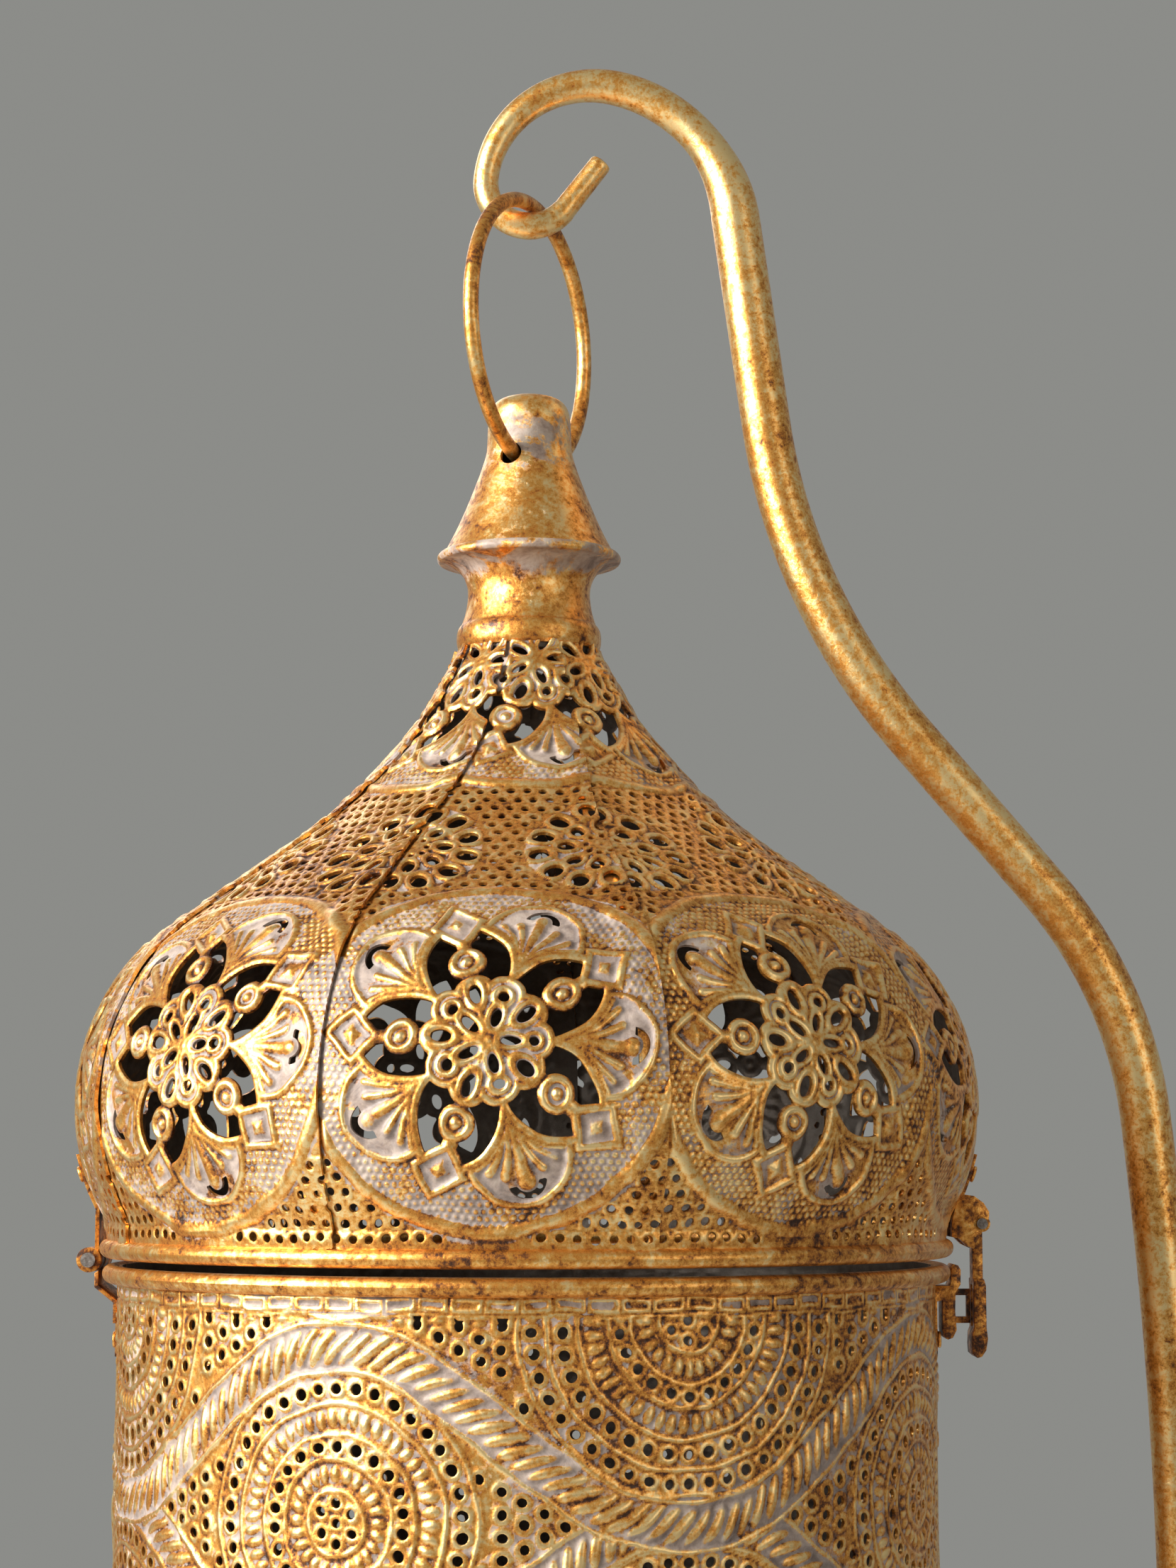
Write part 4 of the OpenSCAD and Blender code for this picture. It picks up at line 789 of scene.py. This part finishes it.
def wave_place(x, y):
    """Distance from the rope wave's middle, up, and the place along it. x and y
    are counted from a roundel of the second row."""
    far = np.array([COLUMN_PITCH / 2, ROW_PITCH])
    reach = math.hypot(*far)
    straight = math.sqrt(reach ** 2 - (WAVE_LOW_R + WAVE_HIGH_R) ** 2)
    turn = math.atan2(far[1], far[0]) + math.acos((WAVE_LOW_R + WAVE_HIGH_R) / reach)
    out = np.array([math.cos(turn), math.sin(turn)])
    along = np.array([out[1], -out[0]])
    leave = WAVE_LOW_R * out
    t = (x - leave[0]) * along[0] + (y - leave[1]) * along[1]
    d = (x - leave[0]) * out[0] + (y - leave[1]) * out[1]
    first_len = WAVE_LOW_R * (math.pi / 2 - turn)
    low_r = np.hypot(x, y)
    low_turn = math.pi / 2 - np.arctan2(y, x)
    high_r = np.hypot(x - far[0], y - far[1])
    high_turn = np.arctan2(y - far[1], x - far[0]) % (2 * math.pi) - (math.pi + turn)
    zones = [t < 0, t < straight]
    distance = np.select(zones, [low_r - WAVE_LOW_R, d], WAVE_HIGH_R - high_r)
    travel = np.select(zones, [WAVE_LOW_R * low_turn, first_len + t],
                       first_len + straight + WAVE_HIGH_R * high_turn)
    return distance, travel


def roundel(sheet, dx, dy, large):
    """A roundel of the drum: rings of openings and of gadroons."""
    r = np.hypot(dx, dy)
    limit = 50.2 if large else 42.4
    near = r < limit
    sheet.clear(near, wash=0.0)
    for count, circle, half_long, half_wide in ((24, 13.1, 2.4, 1.6), (50, 28.3, 2.8, 1.65)):
        u, v = fold(dx, dy, count, 0)
        lobe = np.hypot((u - circle) / half_long, v / half_wide)
        sheet.raise_to(0.9 * bead(lobe, 1.0), near)
        sheet.patina(0.7, near & (lobe > 0.9) & (np.abs(r - circle) < half_long))
    for circle in (8.9, 17.2, 23.9, 32.5, 41.3) + ((49.0,) if large else ()):
        sheet.raise_to(0.65 * bead(r - circle, 0.8), near)
    rings = [(6, 5.7, 1.4), (22, 20.6, 1.6), (38, 36.9, 1.6)] + ([(46, 45.2, 1.5)] if large else [])
    for count, circle, hole in rings:
        u, v = fold(dx, dy, count, 90)
        opening = np.hypot(u - circle, v) - hole
        sheet.pierce(opening, near)
        sheet.raise_to(0.5 * bead(opening - 0.6, 0.9), near)
        sheet.patina(0.55, near & (np.abs(r - circle) < 3) & (opening > 1.0))
    sheet.pierce(r - 1.4)
    sheet.raise_to(0.5 * bead(r - 2.0, 0.9), near)


def drum_pattern(x, y):
    """The ornament of the drum. x runs round it from its front, y up it from the
    upper rim wire's plane."""
    x, y = hand_made(x, y, 0.5)
    sheet = Sheet(x, y)
    second = DRUM_R * math.radians(-23.3)
    signed_x = (x - second + COLUMN_PITCH / 2) % COLUMN_PITCH - COLUMN_PITCH / 2
    from_row = y - (FIRST_ROW - ROW_PITCH)
    signed_y = (from_row + ROW_PITCH) % (2 * ROW_PITCH) - ROW_PITCH
    across, up = np.abs(signed_x), np.abs(signed_y)
    side = np.sign(signed_x) * 1.0

    # punched fields
    pitch_x, pitch_y, hole = 5.95, 3.2, 1.45
    col = np.round((across - 41.8) / pitch_x)
    row = 2 * np.round((up / pitch_y - col % 2) / 2) + col % 2
    hx, hy = 41.8 + col * pitch_x, row * pitch_y
    clear = np.minimum(np.abs(wave_place(hx, hy)[0]), np.abs(wave_place(hx, -hy)[0])) - 7.4
    clear = np.minimum(clear, np.hypot(hx, hy) - 41.5)
    clear = np.minimum(clear, np.hypot(hx - COLUMN_PITCH / 2, hy - ROW_PITCH) - 49.6)
    opening = np.hypot(across - hx, up - hy) - hole
    punched = clear > 1.8
    sheet.pierce(np.where(punched, opening, FAR))
    sheet.raise_to(0.45 * bead(opening - 0.7, 0.9), punched)
    sheet.patina(0.35, opening > 1.2)

    roundel(sheet, signed_x, signed_y, False)
    roundel(sheet, across - COLUMN_PITCH / 2, up - ROW_PITCH, True)

    # rope waves, the upper over the lower
    for turned_over in (-1, 1):
        d, t = wave_place(across, turned_over * signed_y)
        band = np.abs(d) < 7.4
        sheet.clear(band, wash=0.75)
        slant = side * turned_over
        lobe_at = (t - slant * 0.75 * d) / 5.1
        lobe = np.hypot((lobe_at - np.round(lobe_at)) * 5.1 / 2.5, d / 5.5)
        sheet.raise_to(1.25 * bead(lobe, 1.0), band)
        sheet.raise_to(0.8 * bead(np.abs(d) - 6.6, 0.95), band)

    # framed band under both rim wires
    for middle in (-12.8, -295.4):
        h = y - middle
        band = np.abs(h) < 3.4
        sheet.clear(band)
        count = round(2 * math.pi * DRUM_R / 9.5)
        frame_pitch = 2 * math.pi * DRUM_R / count
        along = (x / frame_pitch) % 1 * frame_pitch - frame_pitch / 2
        box = np.maximum(np.abs(along) - 3.9, np.abs(h) - 1.5)
        sheet.raise_to(0.7 * bead(box, 0.75), band)
        sheet.patina(0.6, band & (box < -0.5))
        sheet.raise_to(0.55 * bead(np.abs(h) - 3.1, 0.6), band)
    return sheet


def drum_piece(node, first_turn, fine, coarse):
    """Half of the drum's sheet, from one seam to the other."""
    edge = DRUM_R * math.pi / 2
    start = DRUM_R * first_turn
    columns = np.arange(start - fine, start + 2 * edge + 2 * fine, fine)
    rows = np.concatenate([np.arange(DRUM_LOW - coarse, -98, coarse), np.arange(-98, DRUM_TOP + 1, fine)])
    x, y = np.meshgrid(columns, rows)
    sheet = drum_pattern(x, y)
    place = x / DRUM_R - math.pi / 2
    seam = from_hinge_or_hasp(place, DRUM_R)
    plain = np.minimum(1 - ramp(seam, 13, 15), ramp(y, -38, -35))
    plain = np.maximum(plain, 1 - ramp(seam, 6.5, 8))
    plain = np.maximum(plain, ramp(y, -9.8, -9.0))
    plain = np.maximum(plain, 1 - ramp(y, -299.5, -298.6))
    sheet.height *= 1 - plain
    sheet.gap = np.where(plain > 0.4, FAR, sheet.gap)
    height = blurred(sheet.height, 1)
    gap = np.minimum.reduce([sheet.gap, x - start - 0.15, start + 2 * edge - 0.15 - x,
                             y - DRUM_LOW, DRUM_TOP - y])

    def skin(offset):
        radius = DRUM_R + offset
        return np.stack([radius * np.cos(place), radius * np.sin(place), y], -1)

    return cut_sheet(node + "_stamped", gap, skin(height), skin(0.6 * height - SHEET_T),
                     finish_layers(sheet, fine), materials=[drum_gold, tin_painted_shade], body="drum",
                     slot="embossed_gold", replaces=(node,))


drum_piece("drum_sheet_front", -math.pi / 2, 0.6, 1.1)
drum_piece("drum_sheet_rear", math.pi / 2, 1.0, 1.2)


# ---- Crook and hook ----

POLE_R, POLE_X, JOINT_H = 8.0, 114.0, 820.0
BOWL_H = 334.36                                  # the bowl's lowest point above the rim
TIP_R = 3.5
BAR_SIDES, BAR_EDGE = 64, 40                     # facets round it, and degrees of a sharp edge
# bends as (radius, turn in degrees) and straights as (length, 0), from the pole up
CROOK = [(1500.0, 6.2), (135.0, 34.2), (65.0, 0.0), (202.0, -32.5), (72.0, 0.0)]
HOOK = [(51.7, 68.0), (35.4, 98.7), (14.6, 148.0), (18.0, 0.0)]


def bend_end(place, bend):
    """Follows a bend or a straight from a place [x, z, lean]."""
    x, z, lean = place
    size, turn = bend
    if turn == 0:
        return (x - size * math.sin(lean), z + size * math.cos(lean), lean)
    way = math.copysign(1, turn)
    cx, cz = x - way * size * math.cos(lean), z - way * size * math.sin(lean)
    lean += math.radians(turn)
    return (cx + way * size * math.cos(lean), cz + way * size * math.sin(lean), lean)


def walk(start, path, step_turn=1.5, step_len=6.0):
    """Places along a chain of bends, and the length walked at each."""
    places, lengths = [start], [0.0]
    for size, turn in path:
        whole = size if turn == 0 else size * math.radians(abs(turn))
        count = max(2, math.ceil(abs(turn) / step_turn), math.ceil(whole / step_len))
        origin = places[-1]
        for k in range(1, count + 1):
            part = (size * k / count, 0) if turn == 0 else (size, turn * k / count)
            places.append(bend_end(origin, part))
            lengths.append(lengths[-1] + whole / count)
    return places, lengths


def swept(name, places, radii, replaces):
    """A round bar swept along places [x, z, lean]."""
    angle = np.linspace(0, 2 * math.pi, BAR_SIDES, endpoint=False)
    rings = []
    for (x, z, lean), radius in zip(places, radii):
        out = radius * np.cos(angle)
        rings.append(np.stack([x + out * math.cos(lean), radius * np.sin(angle),
                               z + out * math.sin(lean)], 1))
    points = np.concatenate(rings) * MM
    return make_piece(name, points, ring_faces(len(rings), BAR_SIDES, False), [pole_gold],
                      "stand", "antique_gold", replaces, sharp=BAR_EDGE)


# the bends start as high up the pole as brings the bowl to the ring's highest point
flat_crook = walk((0.0, 0.0, 0.0), CROOK)[0]
flat_bowl = min(walk(flat_crook[-1], HOOK)[0], key=lambda place: place[1])
bends_h = lantern_axis.z / MM + BOWL_H - flat_bowl[1]
crook_places = [(POLE_X, JOINT_H, 0.0)] + walk((POLE_X, bends_h, 0.0), CROOK)[0]
swept("crook_tube", crook_places, [POLE_R] * len(crook_places), ("crook",))

# the bar's radius along the hook, smoothed over a few places, and its blunt nose
hook_places, hook_lengths = walk(crook_places[-1], HOOK)
bowl_at = hook_lengths[min(range(len(hook_places)), key=lambda k: (hook_places[k][1], k))]
BAR = [(0, POLE_R), (8, 7.6), (25, 6.2), (61, 5.7), (bowl_at - 28, 4.1), (bowl_at, 4.5),
       (hook_lengths[-1], TIP_R)]
radii = np.interp(hook_lengths, [length for length, _ in BAR], [radius for _, radius in BAR])
radii = list(np.convolve(np.pad(radii, 4, mode='edge'), np.ones(9) / 9, mode='valid'))
x, z, lean = hook_places[-1]
blunt_r = radii[-1]
for step, radius in ((1.2, blunt_r), (1.9, blunt_r - 0.3), (2.3, TIP_R - 0.9), (2.45, TIP_R - 1.6)):
    hook_places.append((x - step * math.sin(lean), z + step * math.cos(lean), lean))
    radii.append(radius)
swept("hook_bar", hook_places, radii, ("hook",))


# ---- Cap and collar ----

DOME_TOP = 191.52
collar_side = smooth_line([(22.6, DOME_TOP), (23.3, 193.2), (23.5, 195.4), (23.3, 197.6), (22.6, 199.2),
                           (22.0, 199.9), (21.5, 201.2), (20.6, 204.2), (20.0, 208.0), (19.9, 211.0),
                           (20.3, 213.6), (21.6, 216.6), (23.8, 218.8), (26.6, 220.2), (28.6, 220.6)])
rim_roll = smooth_line([(28.6, 220.6), (29.4, 220.7), (29.9, 221.5), (29.9, 222.5), (29.3, 223.4),
                        (28.4, 223.9), (27.2, 223.6)], 4)
collar_inside = [(26.4, 222.2), (25.6, 221.6), (22.8, 220.2), (20.4, 217.6), (19.0, 214.0),
                 (18.7, 210.6), (18.8, 207.6), (19.6, 203.8), (20.9, 200.0), (21.9, 197.0),
                 (22.0, 194.6), (21.6, DOME_TOP)]
collar_profile = collar_side + rim_roll[1:] + collar_inside
collar_h = np.array([h for _, h in collar_profile])
turned("collar_spun", collar_profile, collar_gold, "lid", "embossed_gold", ("collar",), wobble=0.0015,
       layers={"wash": 0.45 * ramp(collar_h, 210, 219), "worn": 0.45 + 0.3 * ramp(collar_h, 219, 223)})


def cap_piece():
    """The spun cap, with the two holes that the ring passes through."""
    side = smooth_line([(28.0, 223.4), (26.4, 226.2), (23.4, 232.2), (20.2, 239.6), (17.4, 246.8),
                        (15.2, 253.0), (14.1, 257.0), (13.75, 260.5), (13.6, 264.5), (13.35, 268.6),
                        (12.7, 271.6), (11.2, 273.9), (8.8, 275.4), (5.4, 276.2), (0.25, 276.42)], 5)
    side = np.array(side)
    tangent = np.gradient(side, axis=0)
    tangent /= np.linalg.norm(tangent, axis=1)[:, None]
    normal = np.stack([tangent[:, 1], -tangent[:, 0]], 1)
    sides = 240
    turn = np.linspace(0, 2 * math.pi, sides + 1)
    wavy = 1 + 0.004 * np.sin(2 * turn + 1) + 0.003 * np.sin(5 * turn)
    crossing = math.radians(66)                  # the ring's plane, turned from the front
    hole_h = 255.62 - 0.9                        # it hangs in the holes, so they reach lower
    skins = []
    for depth in (0.0, 1.1):
        line = side - depth * normal
        radius = np.clip(line[:, 0], 0.05, None)[:, None] * wavy
        skins.append(np.stack([radius * np.cos(turn), radius * np.sin(turn),
                               np.repeat(line[:, 1][:, None], sides + 1, 1)], -1))
    outside = skins[0]
    beside = -outside[..., 0] * math.sin(crossing) + outside[..., 1] * math.cos(crossing)
    gap = np.hypot(beside, outside[..., 2] - hole_h) - 3.7
    high = np.repeat(side[:, 1][:, None], sides + 1, 1)
    wash = np.maximum(0.5 * ramp(high, 244, 256) * (1 - ramp(high, 266, 272)),
                      0.3 * (1 - ramp(gap, 1, 8)))
    gap = np.where(high > 266, 9.0, gap)
    return gap, skins, {"wash": wash, "worn": np.full(gap.shape, 0.5) + 0.15 * ramp(high, 262, 272)}


def closed_turn(gap, skins, layers, name, **settings):
    """As cut_sheet, for a sheet that goes all the way round: its last column is its
    first one, and its points are joined there."""
    piece = cut_sheet(name, gap, skins[0], skins[1], layers, **settings)
    work = bmesh.new()
    work.from_mesh(piece.data)
    bmesh.ops.remove_doubles(work, verts=work.verts, dist=0.00001)
    work.to_mesh(piece.data)
    work.free()
    return piece


closed_turn(*cap_piece(), "cap_spun", materials=[cap_gold, tin_painted_shade], body="lid",
            slot="embossed_gold", replaces=("cap",))


# ---- Candle ----

def candle_piece():
    """Pillar candle with a melted pool and a softened shoulder."""
    low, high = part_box("candle")
    base, top = (low.z - lantern_axis.z) / MM, (high.z - lantern_axis.z) / MM
    profile = smooth_line([(0.3, base), (10, base), (24, base), (29.4, base + 0.3), (29.95, base + 2),
                           (30, base + 12), (29.9, base + 50), (29.95, top - 6), (29.4, top - 1.6),
                           (27.8, top), (25.4, top - 0.7), (22, top - 3.2), (14, top - 4.6),
                           (6, top - 4.2), (1.6, top - 3.8), (0.3, top - 3.7)])
    turned("candle_poured", profile, wax, "drum", "wax", ("candle",), sides=96)


candle_piece()


# ---- Fittings that keep their CAD shape, with rounded edges ----

# node: width of the rounding in mm, finish, slot, body
ROUNDED = {
    "base_plate": (0.9, base_gold, "base_iron", "stand"),
    "pole_collar": (0.5, fitting_gold, "antique_gold", "stand"),
    "joint_ferrule": (0.4, wire_gold, "antique_gold", "stand"),
    "lid_hinge_leaf": (0.3, fitting_gold, "antique_gold", "lid"),
    "hasp_bracket": (0.5, fitting_gold, "antique_gold", "lid"),
    "hasp": (0.6, fitting_gold, "antique_gold", "hasp"),
    "drum_hinge_leaf": (0.3, fitting_gold, "antique_gold", "drum"),
    "hasp_staple": (0.5, fitting_gold, "antique_gold", "drum"),
    "lid_rivets": (0.3, wire_gold, "antique_gold", "lid"),
    "drum_rivets": (0.3, wire_gold, "antique_gold", "drum"),
    "seam_rivets": (0.3, wire_gold, "antique_gold", "drum"),
    "candle_tray": (0.3, fitting_gold, "antique_gold", "drum"),
}
for node, (width, material, slot, body) in ROUNDED.items():
    softened(node, width, material, slot, body)

KEPT = {
    "felt_pad": felt, "lower_pole": pole_gold, "pole_plug": steel, "base_bolt": steel,
    "base_washer": steel, "joint_spigot": steel, "ferrule_screws": steel, "hanging_ring": wire_gold,
    "crown_ring": tin_painted_shade, "dome_rim": wire_gold, "hinge_pin": steel, "hasp_pin": steel,
    "drum_rim": wire_gold, "seam_strips": tin_painted_shade, "foot_ring": wire_gold, "floor_pan": tin_painted_shade,
    "candle_spike": steel, "wick": cotton,
}
for node, material in KEPT.items():
    mesh = nodes[node].data
    mesh.materials.clear()
    mesh.materials.append(material)


# ---- Stage, light and camera ----

AMBIENT, BACKDROP = (0.28, 0.28, 0.28), (0.262, 0.264, 0.250)
CAMERA_FROM_RIM = (0.01925, -1.0085, 0.0277)     # metres from the middle of the rim's circle
CAMERA_PITCH, LENS, SENSOR = 0.119, 71.95, 36.0


def stage_floor():
    mesh = bpy.data.meshes.new("floor")
    half = 6.0
    corners = [(-half, -half, 0), (half, -half, 0), (half, half, 0), (-half, half, 0)]
    mesh.from_pydata(corners, [], [(0, 1, 2, 3)])
    floor = bpy.data.objects.new("floor", mesh)
    scene.collection.objects.link(floor)
    material, tree, shader, place = shader_material("pale_floor", roughness=0.85)
    tone = shades(tree, cloud(tree, place, 3.0, 4.0),
                  [(0.3, (0.50, 0.50, 0.48)), (0.7, (0.54, 0.54, 0.52))])
    tree.links.new(tone, shader.inputs["Base Color"])
    mesh.materials.append(material)


def studio_world():
    world = bpy.data.worlds.new("studio")
    scene.world = world
    world.use_nodes = True
    tree = world.node_tree
    background = tree.nodes["Background"]
    path = tree.nodes.new('ShaderNodeLightPath').outputs
    seen = sums(tree, 'ADD', path['Is Camera Ray'], path['Is Glossy Ray'])
    seen = sums(tree, 'ADD', seen, path['Is Transmission Ray'], clamp=True)
    colour = blend(tree, seen, (*AMBIENT, 1), (*BACKDROP, 1))
    tree.links.new(colour, background.inputs['Color'])


def soft_lamp(name, place, size, power, colour):
    light = bpy.data.lights.new(name, 'AREA')
    light.shape = 'RECTANGLE'
    light.size, light.size_y = size
    light.energy = power
    light.color = colour
    lamp = bpy.data.objects.new(name, light)
    lamp.location = place
    aim = Vector((lantern_axis.x, 0, lantern_axis.z)) - Vector(place)
    lamp.rotation_euler = aim.to_track_quat('-Z', 'Y').to_euler()
    scene.collection.objects.link(lamp)


def photo_camera():
    view = bpy.data.cameras.new("photo_view")
    view.lens = LENS
    view.sensor_width = SENSOR
    camera = bpy.data.objects.new("photo_view", view)
    camera.location = lantern_axis + Vector(CAMERA_FROM_RIM)
    camera.rotation_euler = (math.pi / 2 + CAMERA_PITCH, 0.0, 0.0)
    scene.collection.objects.link(camera)
    scene.camera = camera


stage_floor()
studio_world()
soft_lamp("key", (-1.9, -1.0, 1.85), (1.3, 1.3), 104.0, (1.0, 0.98, 0.95))
soft_lamp("fill", (1.4, -1.7, 1.5), (0.6, 1.2), 5.0, (1.0, 0.86, 0.70))
soft_lamp("back", (-0.8, 1.6, 2.2), (1.2, 0.8), 6.0, (1.0, 1.0, 1.0))
photo_camera()
scene.view_settings.view_transform = 'Standard'
